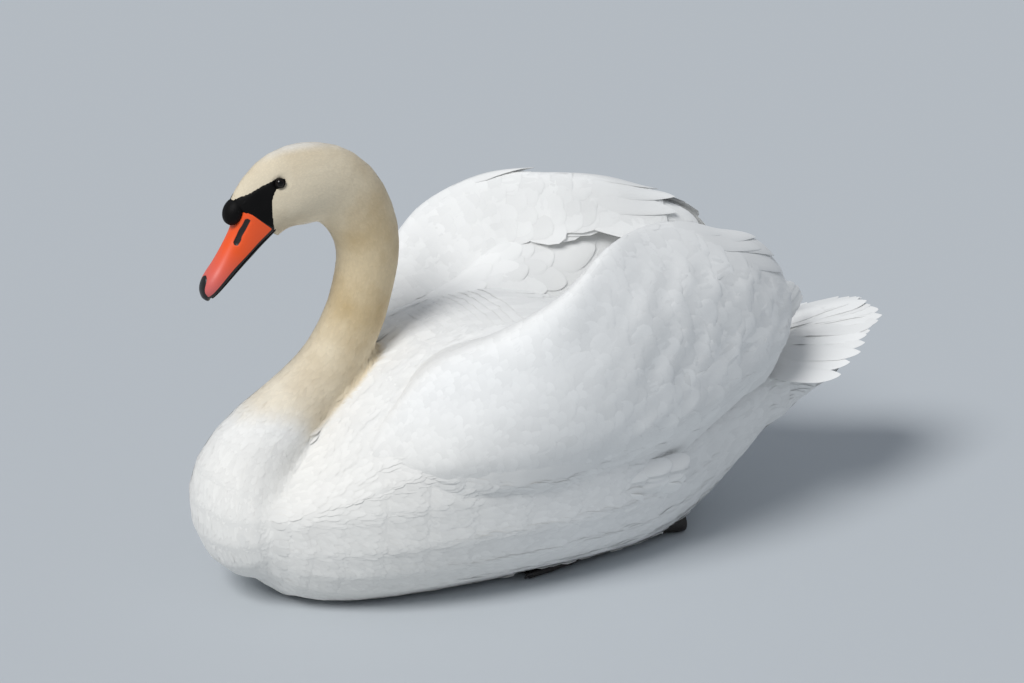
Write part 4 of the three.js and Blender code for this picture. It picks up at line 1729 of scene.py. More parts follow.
@dataclass
class Wing:
    """One arched wing: coverts outside, feathers of its inner face, secondaries and folded primaries."""

    side: Side
    arch: WingArch = WingArch()
    outer_rows: tuple[Row, ...] = (
        Row(0.00, 16, 11, 4.5, 4.5, 0.3),
        Row(0.20, 24, 15, 7, 6, 0.35),
        Row(0.40, 40, 23, 12, 10, 0.45),
        Row(0.55, 62, 33, 19, 15, 0.6),
        Row(0.66, 85, 42, 28, 19, 0.75),
        Row(0.90, 98, 46, 33, 21, 0.85),
    )
    outer_span: tuple[float, float] = (-0.01, 0.80)
    rising: float = 24.0  # degrees that the feathers turn up from the rails
    softness: tuple[float, float] = (0.93, 0.85)  # at the wrist and at the wing's end
    softness_span: tuple[float, float] = (0.25, 0.6)
    covert: LeafShape = LeafShape(rings=6, camber=0.16 * MM, shaft=0.05 * MM, thickness=0.2 * MM)
    inner_rows: tuple[Row, ...] = (
        Row(0.05, 40, 22, 12, 9, 1.5),
        Row(0.35, 95, 36, 26, 15, 3.5),
        Row(0.80, 120, 42, 36, 19, 4.0),
    )
    inner_span: tuple[float, float] = (0.06, 0.86)
    inner_band: tuple[float, float] = (0.22, 0.995)
    inner_softness: float = 0.6
    slope: RailSurface = RailSurface(rails=(
        (
            (67, -152, 247), (75, -105, 258), (86, -60, 266), (91, -2, 290), (84, 40, 293), (79, 77, 297),
            (73, 115, 292), (66, 150, 281), (58, 190, 256),
        ),
        (
            (60, -152, 250), (65, -105, 259), (71, -60, 264), (74, -2, 275), (69, 40, 273), (66, 77, 278),
            (63, 115, 273), (57, 150, 256), (50, 190, 229),
        ),
        (
            (50, -152, 251), (53, -105, 260), (55, -60, 262), (56, -2, 258), (52, 40, 243), (49, 77, 228),
            (46, 115, 212), (43, 150, 200), (40, 190, 192),
        ),
    ))  # where the scapulars lie, between the back and the wing's inner face
    scapular_rows: tuple[Row, ...] = (
        Row(0.0, 34, 20, 9, 8, 0.5),
        Row(0.2, 60, 26, 14, 11, 1.4),
        Row(0.4, 100, 31, 20, 12, 2.4),
        Row(1.0, 110, 33, 22, 13, 3.0),
    )
    scapular: LeafShape = LeafShape(rings=12, camber=0.6 * MM, round_from=0.62, blunt=1.8)
    plume: LeafShape = LeafShape(rings=12, quill=0.6, fullest=0.3, round_from=0.35, tip=0.03, blunt=1.35)
    plume_width: float = 27 * MM
    plume_depth: float = 1.1 * MM
    flight: LeafShape = LeafShape(rings=14, columns=7, round_from=0.8, camber=1.0 * MM)
    flights: int = 18
    flight_width: float = 40 * MM
    bed_span: tuple[float, float] = (0.45, 0.06)  # where it starts, and how far it stops before the tips
    bed_depth: tuple[float, float, float] = (1.8, 1.6, 2.2)  # in millimetres, from either face and the least
    primary: LeafShape = LeafShape(
        rings=14, quill=0.45, round_from=0.72, tip=0.05, blunt=2.1, camber=1.2 * MM
    )
    primaries_count: int = 8
    seed: int = 11

    def crest(self) -> LaidVanes:
        """The loose pointed feathers on the crest.

        Returns:
            The laid feathers.
        """
        plumes = PLUMES[self.side]
        tips = np.array([(plume.t, plume.v) for plume in plumes])
        count = len(plumes)
        return LaidVanes(
            surface=self.arch, roots=tips - [(plume.length, 0) for plume in plumes], tips=tips,
            widths=np.full(count, self.plume_width), base=np.full(count, -self.plume_depth),
            rise=np.array([plume.lift for plume in plumes]) * MM, tilt=np.zeros(count), shape=self.plume,
        )

    def flight_row(self, seed: int) -> LaidVanes:
        """The long secondaries under the last coverts, with their tips at the wing's end.

        Args:
            seed: Seed of their small differences.

        Returns:
            The laid feathers.
        """
        end = ENDS[self.side]
        v = np.linspace(0.015, 0.98, self.flights)
        count = len(v)
        reach = np.interp(v, end.v, end.flights) + np.random.default_rng(seed).uniform(-0.006, 0.006, count)
        lower = np.clip(v - 0.08 * (v > 0.12) * (v < 0.6), 0, 1)
        return LaidVanes(
            surface=self.arch, roots=np.column_stack([np.full(count, 0.60), lower]),
            tips=np.column_stack([reach, v]), widths=np.full(count, self.flight_width),
            base=np.full(count, -2.0 * MM), rise=(1.6 - np.interp(v, end.v, end.droop)) * MM,
            tilt=np.full(count, -0.02), shape=self.flight,
        )

    def bed(self, coating: Coating) -> None:
        """The thin web of quills between the outer and inner feathers of the wing's hind part.

        Args:
            coating: The feathers' finish.
        """
        first, short = self.bed_span
        share, v = np.meshgrid(np.linspace(0, 1, 24), np.linspace(0.01, 0.99, 40), indexing="ij")
        t = first + share * (ENDS[self.side].last(v) - short - first)
        outward, base = self.arch.slopes(t, v)[2], self.arch.at(t, v)
        over, under, least = self.bed_depth
        top = base - outward * over * MM
        bottom = base - outward * np.maximum(self.arch.thick(t, v) - under * MM, least * MM)[..., None]
        rings = np.concatenate([top, bottom[:, ::-1]], axis=1) * self.side.mirror
        made = make_object(f"quill_bed_{self.side.word}", *loft(rings))
        # along 0.4 gives the bed the feathers' painted root shade
        mark(made.data, stain=0.0, shade=0.0, along=0.4)
        mount(made, coating.material)

    def primaries(self, coating: Coating) -> None:
        """The folded primaries, a flat bundle of long quills that ends over the tail.

        Args:
            coating: The feathers' finish and marking.
        """
        count = self.primaries_count
        share = np.linspace(0, 1, count)
        roots = np.column_stack([
            np.interp(share, [0, 1], [70, 74]), np.full(count, 136), np.interp(share, [0, 1], [194, 216]),
        ]) * MM
        tips = np.column_stack([
            np.interp(share, [0, 0.5, 1], [20, 15, 20]),
            np.interp(share, [0, 0.2, 0.45, 0.8, 1], [280, 290, 296, 286, 270]),
            np.interp(share, [0, 1], [202, 243]),
        ]) * MM
        offset = (share - 0.5)[:, None] * np.array([4.0, 1.0, 0]) * MM
        vanes = FreeVanes(
            roots + offset, tips + offset, np.tile([0.93, 0.22, 0.22], (count, 1)),
            np.full(count, 22 * MM), np.full(count, 3 * MM), self.primary,
        )
        places = np.column_stack([share, np.full(count, 0.5)])
        word = self.side.word
        leaves = Leaves(*vanes.points(), self.primary, places, 0.75)
        leaves.build(f"primary_quills_{word}", self.side, coating, self.seed + 3, [f"primaries_{word}"])

    def build(self, coating: Coating) -> None:
        """Makes all pieces of the wing.

        Args:
            coating: The feathers' finish and marking.
        """
        side, word = self.side, self.side.word
        seed = self.seed + (0 if side is Side.LEFT else 100)
        last = ENDS[side].last
        self.bed(coating)
        outer = Layer(
            self.arch, self.outer_rows, self.outer_span, (0.0, 1.0), self.covert, seed,
            rising=self.rising, ends=last,
        ).vanes()
        fade = np.interp(outer.roots[:, 0], self.softness_span, self.softness)
        outer.leaves(fade).build(f"coverts_{word}", side, coating, seed)
        inner = Layer(
            self.arch, self.inner_rows, self.inner_span, self.inner_band, self.covert, seed + 1,
            inner=True, ends=last,
        ).vanes()
        inner.leaves(self.inner_softness).build(f"inner_coverts_{word}", side, coating, seed + 1)
        scapulars = Layer(self.slope, self.scapular_rows, (0.0, 0.60), (0.0, 1.0), self.scapular, seed + 4)
        scapulars.vanes().leaves(0.8).build(f"scapulars_{word}", side, coating, seed + 4)
        self.crest().leaves(0.75).build(f"crest_plumes_{word}", side, coating, seed + 5)
        flights = self.flight_row(seed + 2).leaves(0.8)
        flights.build(f"secondaries_{word}", side, coating, seed + 2, [f"flight_feathers_{word}"])
        self.primaries(coating)


@dataclass
class Mantle:
    """Long loose feathers over the back between the wings."""

    rails: tuple[Rail, ...] = (
        ((64, -150, 250), (64, -100, 257), (64, -40, 253), (62, 20, 236), (60, 80, 215), (56, 130, 201)),
        ((32, -150, 256), (32, -100, 262), (32, -40, 258), (31, 20, 241), (30, 80, 221), (28, 130, 208)),
        ((0, -150, 258), (0, -100, 264), (0, -40, 260), (0, 20, 243), (0, 80, 223), (0, 130, 210)),
    )  # from the left edge to the middle, the right half being their mirror image
    rows: tuple[Row, ...] = (
        Row(0.0, 30, 20, 7, 7, 0.5),
        Row(0.2, 48, 26, 9, 8, 1.5),
        Row(0.36, 62, 31, 11, 9, 2.2),
        Row(1.0, 70, 34, 13, 11, 2.2),
    )
    raised: tuple[tuple[float, ...], tuple[float, ...]] = (
        (0.0, 0.2, 0.36, 0.7, 1.0), (0.0, 2.5, 6.0, 6.0, 3.0),
    )  # shares of the length, and how much the feathers' roots are lifted there in millimetres
    shape: LeafShape = LeafShape(rings=8, camber=0.3 * MM, shaft=0.06 * MM, thickness=0.2 * MM)
    softness: float = 0.85
    seed: int = 83

    def build(self, coating: Coating) -> None:
        """Makes the feathers.

        Args:
            coating: Their finish and marking.
        """
        right = tuple(tuple((-x, y, z) for x, y, z in rail) for rail in self.rails[1::-1])
        surface = RailSurface(rails=self.rails + right)
        vanes = Layer(surface, self.rows, (0.02, 0.78), (0.0, 1.0), self.shape, self.seed).vanes()
        vanes.base = vanes.base + np.interp(vanes.roots[:, 0], *self.raised) * MM
        vanes.leaves(self.softness).build("mantle_feathers", Side.LEFT, coating, self.seed)


# ---------------------------------------------------------------------------- flank and tail


@dataclass
class FlankFeathers:
    """Loose flank feathers that hang out under the wing's hind edge."""

    side: Side
    rows: int = 4
    columns: int = 7
    shape: LeafShape = LeafShape(rings=9, columns=5, camber=1.2 * MM)
    width: float = 18 * MM
    bow: float = 2.5 * MM
    jitter: float = 1.2 * MM
    sunk: float = 3 * MM  # how deep the roots are in the plumage
    softness: float = 0.6
    seed: int = 47

    def build(self, coating: Coating) -> None:
        """Makes the feathers.

        Args:
            coating: Their finish and marking.
        """
        rng = np.random.default_rng(self.seed + self.side.value)
        grid = np.meshgrid(np.linspace(0, 1, self.rows), np.linspace(0, 1, self.columns), indexing="ij")
        row, column = (values.ravel() for values in grid)
        count = len(row)
        roots = np.column_stack([
            150 - 4 * row - 5 * column, -28 + 62 * row, 116 - 22 * column + 2 * row,
        ]) * MM
        tips = roots + np.column_stack([-1 - 3 * row, 44 + 10 * row - 6 * column, -1 - 9 * column]) * MM
        tips = tips + rng.normal(0, self.jitter, tips.shape)
        roots[:, 0] -= self.sunk
        outs = np.column_stack([np.ones(count), np.full(count, 0.10), -0.9 * column + 0.25])
        wide, bows = np.full(count, self.width), np.full(count, self.bow)
        vanes = FreeVanes(roots, tips, outs, wide, bows, self.shape)
        leaves = Leaves(*vanes.points(), self.shape, np.column_stack([row, column]), self.softness)
        leaves.build(f"flank_feathers_{self.side.word}", self.side, coating, self.seed)


@dataclass
class Tail:
    """The tail's stiff feathers in a fan."""

    pairs: int = 13
    tips: tuple[tuple[float, float, float], ...] = (
        (5, 380, 198.5), (15, 386, 194), (26, 387, 191.5), (42, 373, 188), (52, 358, 184), (64, 344, 180),
        (80, 322, 171.5), (104, 292, 161),
    )  # from the middle to the outer feather, in millimetres
    back: float = 118 * MM  # length of a feather
    width: float = 25 * MM
    bow: float = 1 * MM
    jitter: float = 1.5 * MM
    clear: float = 0.6 * MM  # from the skin to a feather's lower face
    stagger: float = 2.4 * MM  # how much higher the middle feathers lie than the outer ones
    lap: float = 0.6 * MM  # how much higher the left side lies than the right one in the middle
    look_down: float = 30 * MM
    smoothing: int = 8
    shape: LeafShape = LeafShape(rings=16, quill=0.4, round_from=0.76, tip=0.06, blunt=1.45, camber=0.5 * MM)
    softness: float = 0.8
    seed: int = 31

    @property
    def share(self) -> Array:
        """Each feather's place from the middle, 0, to the side, 1."""
        return np.linspace(0, 1, self.pairs)

    def fan(self, side: Side) -> FreeVanes:
        """One side's feathers, on the left.

        Args:
            side: The side that they are for.

        Returns:
            The feathers.
        """
        share, pairs = self.share, self.pairs
        rng = np.random.default_rng(self.seed + side.value)
        tips = spline(np.array(self.tips) * MM, share)
        lie = unit(np.column_stack([0.03 + 0.42 * share, np.full(pairs, 1.0), 0.15 - 0.11 * share]))
        roots = tips - lie * self.back
        outs = np.column_stack([0.1 + 0.25 * share, np.full(pairs, -0.12), np.ones(pairs)])
        tips = tips + rng.normal(0, self.jitter, tips.shape) * [1, 1, 0.3]
        return FreeVanes(roots, tips, outs, np.full(pairs, self.width), np.full(pairs, self.bow), self.shape)

    def drape(self, points: Array, side: Side, shell: Shell) -> Array:
        """Raises feathers where the skin would come through them.

        Args:
            points: Their points for the left side, upper faces first.
            side: The side that they are for.
            shell: The skin.

        Returns:
            The raised points.
        """
        count, size, _ = points.shape
        lower = points[:, size // 2:].reshape(-1, 3)
        above = lower * side.mirror + np.array([0, 0, self.look_down])
        down = np.tile([0.0, 0.0, -1.0], (len(above), 1))
        places, _, met = shell.cast(above, down, 2 * self.look_down)
        own = self.clear + (self.stagger + (self.lap if side is Side.LEFT else 0)) * (1 - self.share)
        room = np.where(met, places[:, 2] + np.repeat(own, size // 2) - lower[:, 2], 0)
        rise = np.maximum(room, 0).reshape(count, self.shape.rings, -1)
        for _ in range(self.smoothing):
            long = np.pad(rise, ((0, 0), (1, 1), (0, 0)), mode="edge")
            rise = np.maximum(rise, (long[:, :-2] + long[:, 2:]) / 2)
            wide = np.pad(rise, ((0, 0), (0, 0), (1, 1)), mode="edge")
            rise = np.maximum(rise, (wide[..., :-2] + wide[..., 2:]) / 2)
        raised = points.reshape(count, 2, self.shape.rings, -1, 3).copy()
        raised[..., 2] += rise[:, None]
        return raised.reshape(points.shape)

    def build(self, coating: Coating, shell: Shell) -> None:
        """Makes the feathers of both sides.

        Args:
            coating: Their finish and marking.
            shell: The skin that they lie over.
        """
        places = np.column_stack([self.share, np.full(self.pairs, 0.5)])
        for side in Side:
            points, facing = self.fan(side).points()
            leaves = Leaves(self.drape(points, side, shell), facing, self.shape, places, self.softness)
            leaves.build(f"tail_feathers_{side.word}", side, coating, self.seed)


# ---------------------------------------------------------------------------- coat


def inside_outline(points: Array, outline: Sequence[tuple[float, float]], margin: float = 0.0) -> Array:
    """Whether y and z of each point lie inside an outline, or within a margin of it.

    Args:
        points: Points in metres, shaped (n, 3).
        outline: The outline's corners, in millimetres.
        margin: The margin, in millimetres.

    Returns:
        True or False for each point.
    """
    flat = points[:, 1:] / MM
    corners = np.array(outline, float)
    inside = np.zeros(len(flat), bool)
    gap = np.full(len(flat), np.inf)
    for a, b in zip(corners, np.roll(corners, -1, axis=0)):
        edge = b - a
        crosses = (a[1] > flat[:, 1]) != (b[1] > flat[:, 1])
        inside ^= crosses & (flat[:, 0] < edge[0] * (flat[:, 1] - a[1]) / (edge[1] or TINY) + a[0])
        share = np.clip((flat - a) @ edge / (edge @ edge), 0, 1)
        gap = np.minimum(gap, np.linalg.norm(flat - a - share[:, None] * edge, axis=1))
    return inside | (gap < margin)


LORES = (
    (-347, 416), (-339.4, 420.4), (-331.7, 423.8), (-320.6, 430.6), (-311, 435), (-303.5, 437.4),
    (-298.6, 436.6), (-295.8, 433.4), (-298.4, 429.2), (-303.6, 427), (-308.6, 424.6), (-311.2, 418.5),
    (-312, 411.9), (-312, 404.7), (-311, 396), (-309.4, 388), (-309.8, 382), (-315, 380), (-320, 384),
    (-330, 395), (-345, 405),
)  # y and z of the bare skin between bill and eye, in millimetres


@dataclass
class Coat:
    """All contour plumage of head, neck, trunk and tail root."""

    shell: Shell  # the skin
    line: NeckLine = NeckLine()
    neck_rows: tuple[Row, ...] = (
        Row(0, 4.0, 1.7, 1.4, 1.2, 0.14),
        Row(65, 6.0, 2.3, 1.7, 1.4, 0.16),
        Row(139, 9, 3.2, 2.1, 1.8, 0.2),
        Row(250, 13, 4.4, 2.8, 2.4, 0.24),
        Row(370, 18, 6.5, 3.7, 3.2, 0.26),
        Row(465, 20, 7.4, 4.3, 3.7, 0.24),
        Row(506, 21, 8, 4.6, 4.0, 0.24),
    )
    body_rows: tuple[Row, ...] = (
        Row(0, 19, 8, 4.4, 4.0, 0.22),
        Row(80, 21, 9, 4.8, 4.3, 0.22),
        Row(200, 26, 11.5, 5.6, 5.0, 0.26),
        Row(450, 31, 15, 6.4, 5.9, 0.35),
        Row(604, 30, 14, 7, 6.2, 0.35),
        Row(690, 28, 14, 7.5, 7, 0.35),
    )
    neck_parts: tuple[tuple[str, float, float, int], ...] = (
        ("head", 0.001, 0.106, 300), ("neck_upper", 0.092, 0.232, 240),
        ("neck_middle", 0.212, 0.350, 240), ("neck_lower", 0.330, 0.512, 240),
    )  # solid, start and end along the neck's line, and rays in each ring
    body_parts: tuple[tuple[str, float, float, float], ...] = (
        ("breast", 0.0, 0.17, 0.25), ("belly", 0.17, 0.40, 0.0), ("rump", 0.40, 0.70, 0.0),
    )  # name, start and end along the body's line, and how far the feathers lean down
    body_line: tuple[tuple[float, float], ...] = (
        (-370, 98), (-300, 112), (-200, 126), (0, 126), (130, 126), (200, 142), (250, 160), (330, 172),
    )  # y and z in millimetres
    neck_reach: float = 0.1
    body_reach: float = 0.3
    overlap: float = 2.5 * MM  # how far a solid's feathers may stand on the next one
    tail_root: float = 255 * MM
    tail_end: float = 335 * MM
    flank: tuple[float, float, float] = (0.142, 0.050, 0.105)  # middle of the loose flank feathers
    flank_room: tuple[float, float, float] = (0.024, 0.052, 0.022)
    mantle: tuple[float, float] = (-0.10, 0.12)  # the back's part under the mantle feathers
    mantle_half: float = 56 * MM
    spare: float = 0.4  # bare rim round the lores, in millimetres
    eye: tuple[float, float] = (-303.5, 432.5)  # y and z in millimetres
    eye_room: float = 5.5
    crown_half: float = 8 * MM  # half the width over which the crown has no eye to spare
    bridge_half: float = 3 * MM  # and no lores
    solids: dict[str, Shell] = field(default_factory=lambda: {
        name: Shell(*node_arrays([name])) for name in Skin().nodes
    })

    def owned(self, tufts: Tufts, own: Sequence[str], others: Sequence[str]) -> Array:
        """Whether each feather stands on some solids rather than on others.

        Args:
            tufts: The feathers.
            own: Names of the solids wanted.
            others: Names of the solids beside them.

        Returns:
            True or False for each feather.
        """
        near, beside = (
            np.min([self.solids[name].nearest(tufts.roots)[2] for name in names], axis=0)
            for names in (own, others)
        )
        return near < beside + self.overlap

    def off_face(self, tufts: Tufts) -> Array:
        """Whether each feather leaves bill, lores and eyes bare.

        Args:
            tufts: The feathers of the head.

        Returns:
            True or False for each feather.
        """
        face = inside_outline(tufts.roots, LORES, self.spare) | inside_outline(tufts.ends, LORES)
        gaps = [np.hypot(*(ends[:, 1:] / MM - self.eye).T) for ends in (tufts.roots, tufts.ends)]
        x = np.abs(tufts.roots[:, 0])
        clear = (np.minimum(*gaps) > self.eye_room) | (x < self.crown_half)
        return ~(face & (x > self.bridge_half)) & clear

    def on_body(self, tufts: Tufts) -> Array:
        """Whether each feather belongs to the trunk or tail and isn't under loose ones.

        Args:
            tufts: The feathers.

        Returns:
            True or False for each feather.
        """
        own = ("trunk", "tail")
        kept = self.owned(tufts, own, [name for name in self.solids if name not in own])
        (x, y), up = tufts.roots[:, :2].T, tufts.normals[:, 2]
        under_quills = (y > self.tail_root) & (up > -0.2) | (y > self.tail_end)
        mirrored = tufts.roots * np.column_stack([np.sign(x), np.ones((len(x), 2))])
        flank = np.linalg.norm((mirrored - self.flank) / self.flank_room, axis=1) < 1
        along_mantle = (y > self.mantle[0]) & (y < self.mantle[1])
        under_mantle = (np.abs(x) < self.mantle_half) & along_mantle & (up > 0.6)
        return kept & ~under_quills & ~flank & ~under_mantle

    def neck(self, coating: Coating) -> None:
        """Makes the coat of head and neck.

        Args:
            coating: The feathers' finish and marking.
        """
        line = self.line.curve()
        chain = [name for name, *_ in self.neck_parts] + ["trunk"]
        for number, (name, start, end, rays) in enumerate(self.neck_parts):
            beside = [chain[k] for k in (number - 1, number + 1) if k >= 0]
            slot = WHITE_SLOT if name == "neck_lower" else "feather_cream"

            def keep(tufts: Tufts) -> Array:
                """Keeps the feathers of this part."""
                kept = self.owned(tufts, [name], beside)
                return kept & self.off_face(tufts) if name == "head" else kept

            tract = Tract(
                f"coat_{name}", slot, self.neck_rows, start, end, 60 + number, rays=rays,
                reach=self.neck_reach,
            )
            tract.build(line, self.shell, coating, keep)

    def body(self, coating: Coating) -> None:
        """Makes the coat of trunk and tail root, in rings round a line whose feathers all lie backwards.

        Args:
            coating: The feathers' finish and marking.
        """
        places = np.column_stack([np.zeros(len(self.body_line)), self.body_line]) * MM
        points = spline(places, np.linspace(0, 1, 200))
        line = points, np.tile([0.0, 1.0, 0.0], (len(points), 1)), points[:, 1] - points[0, 1]
        for number, (name, start, end, downward) in enumerate(self.body_parts):
            tract = Tract(
                f"coat_{name}", WHITE_SLOT, self.body_rows, start + 0.004, end, 70 + number,
                downward=downward, rays=360, reach=self.body_reach,
            )
            tract.build(line, self.shell, coating, self.on_body)


# ---------------------------------------------------------------------------- bill and face


@dataclass(frozen=True)
class BillFrame:
    """The bill's own directions: s runs from the face to the tip, n towards the culmen."""

    y: float = -322 * MM
    z: float = 384 * MM
    fall: float = 52.3  # degrees below the horizontal

    def place(self, s: Array, n: Array, x: Array) -> Array:
        """Points of the bill.

        Args:
            s: Distances towards the tip, in millimetres.
            n: Distances towards the culmen.
            x: Distances to the left.

        Returns:
            The points in metres, with 3 added to the shape.
        """
        s, n, x = (values * MM for values in np.broadcast_arrays(s, n, x))
        down = math.radians(self.fall)
        return np.stack([
            x,
            self.y - math.cos(down) * s - math.sin(down) * n,
            self.z - math.sin(down) * s + math.cos(down) * n,
        ], axis=-1)


@dataclass(frozen=True)
class Lump:
    """An egg-shaped lump of bare skin, leaning in the mid plane."""

    centre: tuple[float, float, float]  # in millimetres
    size: tuple[float, float, float]  # half sizes in millimetres
    lean: float  # degrees
    lobe: float = 0.0  # how far its sides stand out
    groove: float = 0.0  # how deep the groove over its middle is
    rows: int = 28
    around: int = 44

    def solid(self) -> tuple[Array, list[Face]]:
        """The lump as a closed mesh.

        Returns:
            Vertices in metres and faces.
        """
        polar = np.linspace(0.02, math.pi - 0.02, self.rows)[:, None]
        turn = round_turn(self.around)[None, :]
        x, y = np.sin(polar) * np.cos(turn), np.sin(polar) * np.sin(turn)
        ball = np.stack(np.broadcast_arrays(x, y, np.cos(polar)), axis=-1)
        lobes = self.lobe * np.cos(2 * turn) * np.sin(polar) ** 2
        grown = 1 + lobes - self.groove * np.exp(-((x / 0.12) ** 2))
        x, y, z = np.moveaxis(ball * grown[..., None] * self.size, -1, 0)
        lean = math.radians(self.lean)
        leaning = x, y * math.cos(lean) - z * math.sin(lean), y * math.sin(lean) + z * math.cos(lean)
        return loft((np.stack(leaning, axis=-1) + self.centre) * MM)


@dataclass
class Bill:
    """Upper bill with its nostrils, lower bill, nail and the knob on its root."""

    axes: BillFrame = BillFrame()
    sections: tuple[tuple[float, float, float, float], ...] = (
        (-11.5, 27.5, -6.5, 18.6), (-8.5, 28, -7.6, 20.4), (-5, 26.8, -7.4, 20), (0, 25, -6.4, 19.3),
        (10, 21.5, -4.7, 17.5), (22, 19.5, -3.4, 15.7), (36, 17.8, -1.4, 15), (50, 16.6, 0.6, 15.2),
        (63, 16.4, 2.4, 15.4), (72, 15.4, 3.2, 14), (79, 12.6, 3, 10), (82.5, 8.5, 2.8, 4.5),
    )  # s, top, bottom and half width in millimetres
    nail_sections: tuple[tuple[float, float, float, float], ...] = (
        (65, 17.2, 14.5, 1.5), (67, 17.3, 13, 4.8), (70, 16.8, 10.5, 6.8), (74, 15.7, 7, 7.9),
        (78, 14.0, 3, 8.0), (81, 11.9, 0.4, 7.2), (83.4, 9.2, -0.6, 5.6), (84.9, 6.8, 0.3, 3.6),
        (85.4, 5.2, 1.6, 1.6),
    )
    length: float = 84.0
    lower_depth: float = 4.6
    lower_gap: float = 0.9  # from the upper bill's edge
    black_edge: float = 2.3
    blur: float = 0.8  # of the black marks' borders
    black_root: tuple[float, float] = (-10.2, -9.0)
    root_slant: tuple[float, float] = (0.05, 28)
    nostril: tuple[tuple[float, float], tuple[float, float]] = ((-1.7, 18.6), (22.3, 13.8))
    nostril_radius: float = 2.5
    nostril_depth: float = 1.3
    knob: tuple[Lump, ...] = (
        Lump((0, -343.6, 403.6), (11.8, 10.6, 14.2), -28, 0.025, 0.03),
        Lump((0, -335.5, 414.5), (13.5, 9.0, 5.5), 52.0),  # the bare skin behind the knob
    )

    def rows(self, sections: tuple[tuple[float, ...], ...], count: int) -> list[Array]:
        """Smooth rows between sections: s, top, bottom and half width, each as a column."""
        table = spline(np.array(sections, float), np.linspace(0, 1, count))
        return [table[:, k:k + 1] for k in range(4)]

    def piece(self, name: str, rings: Array, slot: str, material: bpy.types.Material, node: str) -> Array:
        """Makes one closed piece of the bill.

        Args:
            name: Its name.
            rings: Rings of points in metres.
            slot: Not used.
            material: Its finish.
            node: The solid that it replaces.

        Returns:
            The piece's object.
        """
        made = make_object(name, *loft(rings))
        mount(made, material, [node])
        return made

    def upper(self, material: bpy.types.Material) -> None:
        """The upper bill, with its black marks written on the mesh.

        Args:
            material: The orange horn's finish.
        """
        s, top, bottom, wide = self.rows(self.sections, 150)
        angle = round_turn(72)[None, :]
        up = np.cos(angle)
        n = bottom + np.where(up > 0, (top - bottom) * bent(up, 0.85), bent(up, 0.6) * 1.2)
        x = wide * bent(np.sin(angle), 0.55 + 0.25 * smoothstep(s, -5, 20))
        (s0, n0), (s1, n1) = self.nostril
        run = np.array([s1 - s0, n1 - n0])
        share = np.clip(((s - s0) * run[0] + (n - n0) * run[1]) / (run @ run), 0, 1)
        gap = np.hypot(s - s0 - share * run[0], n - n0 - share * run[1])
        pit = 1 - smoothstep(gap, self.nostril_radius * 0.55, self.nostril_radius * 1.1)
        x = x * (1 - pit * self.nostril_depth / np.maximum(np.abs(x), 4.0))
        slant = self.root_slant[0] * (self.root_slant[1] - n)
        first, last = self.black_root
        marks = np.max([
            1 - smoothstep(n - bottom, self.black_edge - self.blur, self.black_edge + self.blur),
            1 - smoothstep(s, first + slant, last + slant),
            1 - smoothstep(gap, self.nostril_radius - self.blur, self.nostril_radius + self.blur / 2),
        ], axis=0)
        along = np.broadcast_to(np.clip(s / self.length, 0, 1), n.shape)
        made = self.piece("bill_upper_horn", self.axes.place(s, n, x), "bill_orange", material, "bill_upper")
        mark(made.data, shade=np.append(marks, [1.0, 1.0]), along=np.append(along, [0.0, 1.0]))

    def lower(self, material: bpy.types.Material) -> None:
        """The black lower bill, a shallow trough under the upper one.

        Args:
            material: The black horn's finish.
        """
        s, _, bottom, wide = (column[:-4] for column in self.rows(self.sections, 60))
        angle = round_turn(40)[None, :]
        half = self.lower_depth * (1 - 0.45 * smoothstep(s, 20, 80)) / 2
        n = bottom - self.lower_gap - half + half * bent(np.cos(angle), 0.7)
        x = (wide - 1.4 - 1.2 * (1 - smoothstep(s, -8, 10))) * np.sin(angle)
        self.piece("bill_lower_horn", self.axes.place(s, n, x), "horn_black", material, "bill_lower")

    def nail(self, material: bpy.types.Material) -> None:
        """The hard nail that hooks over the bill's end.

        Args:
            material: The black horn's finish.
        """
        s, top, bottom, wide = self.rows(self.nail_sections, 40)
        angle = round_turn(36)[None, :]
        n = (top + bottom) / 2 + (top - bottom) / 2 * bent(np.cos(angle), 0.9)
        x = wide * bent(np.sin(angle), 0.85)
        self.piece("bill_nail_horn", self.axes.place(s, n, x), "horn_black", material, "bill_nail")

    def build(self, orange: bpy.types.Material, black: bpy.types.Material, bare: bpy.types.Material) -> None:
        """Makes all pieces of the bill.

        Args:
            orange: The upper bill's finish.
            black: The finish of lower bill and nail.
            bare: The knob's finish.
        """
        self.upper(orange)
        self.lower(black)
        self.nail(black)
        knob = make_object("bill_knob_skin", *join_solids([lump.solid() for lump in self.knob]))
        mount(knob, bare, ["bill_knob"])


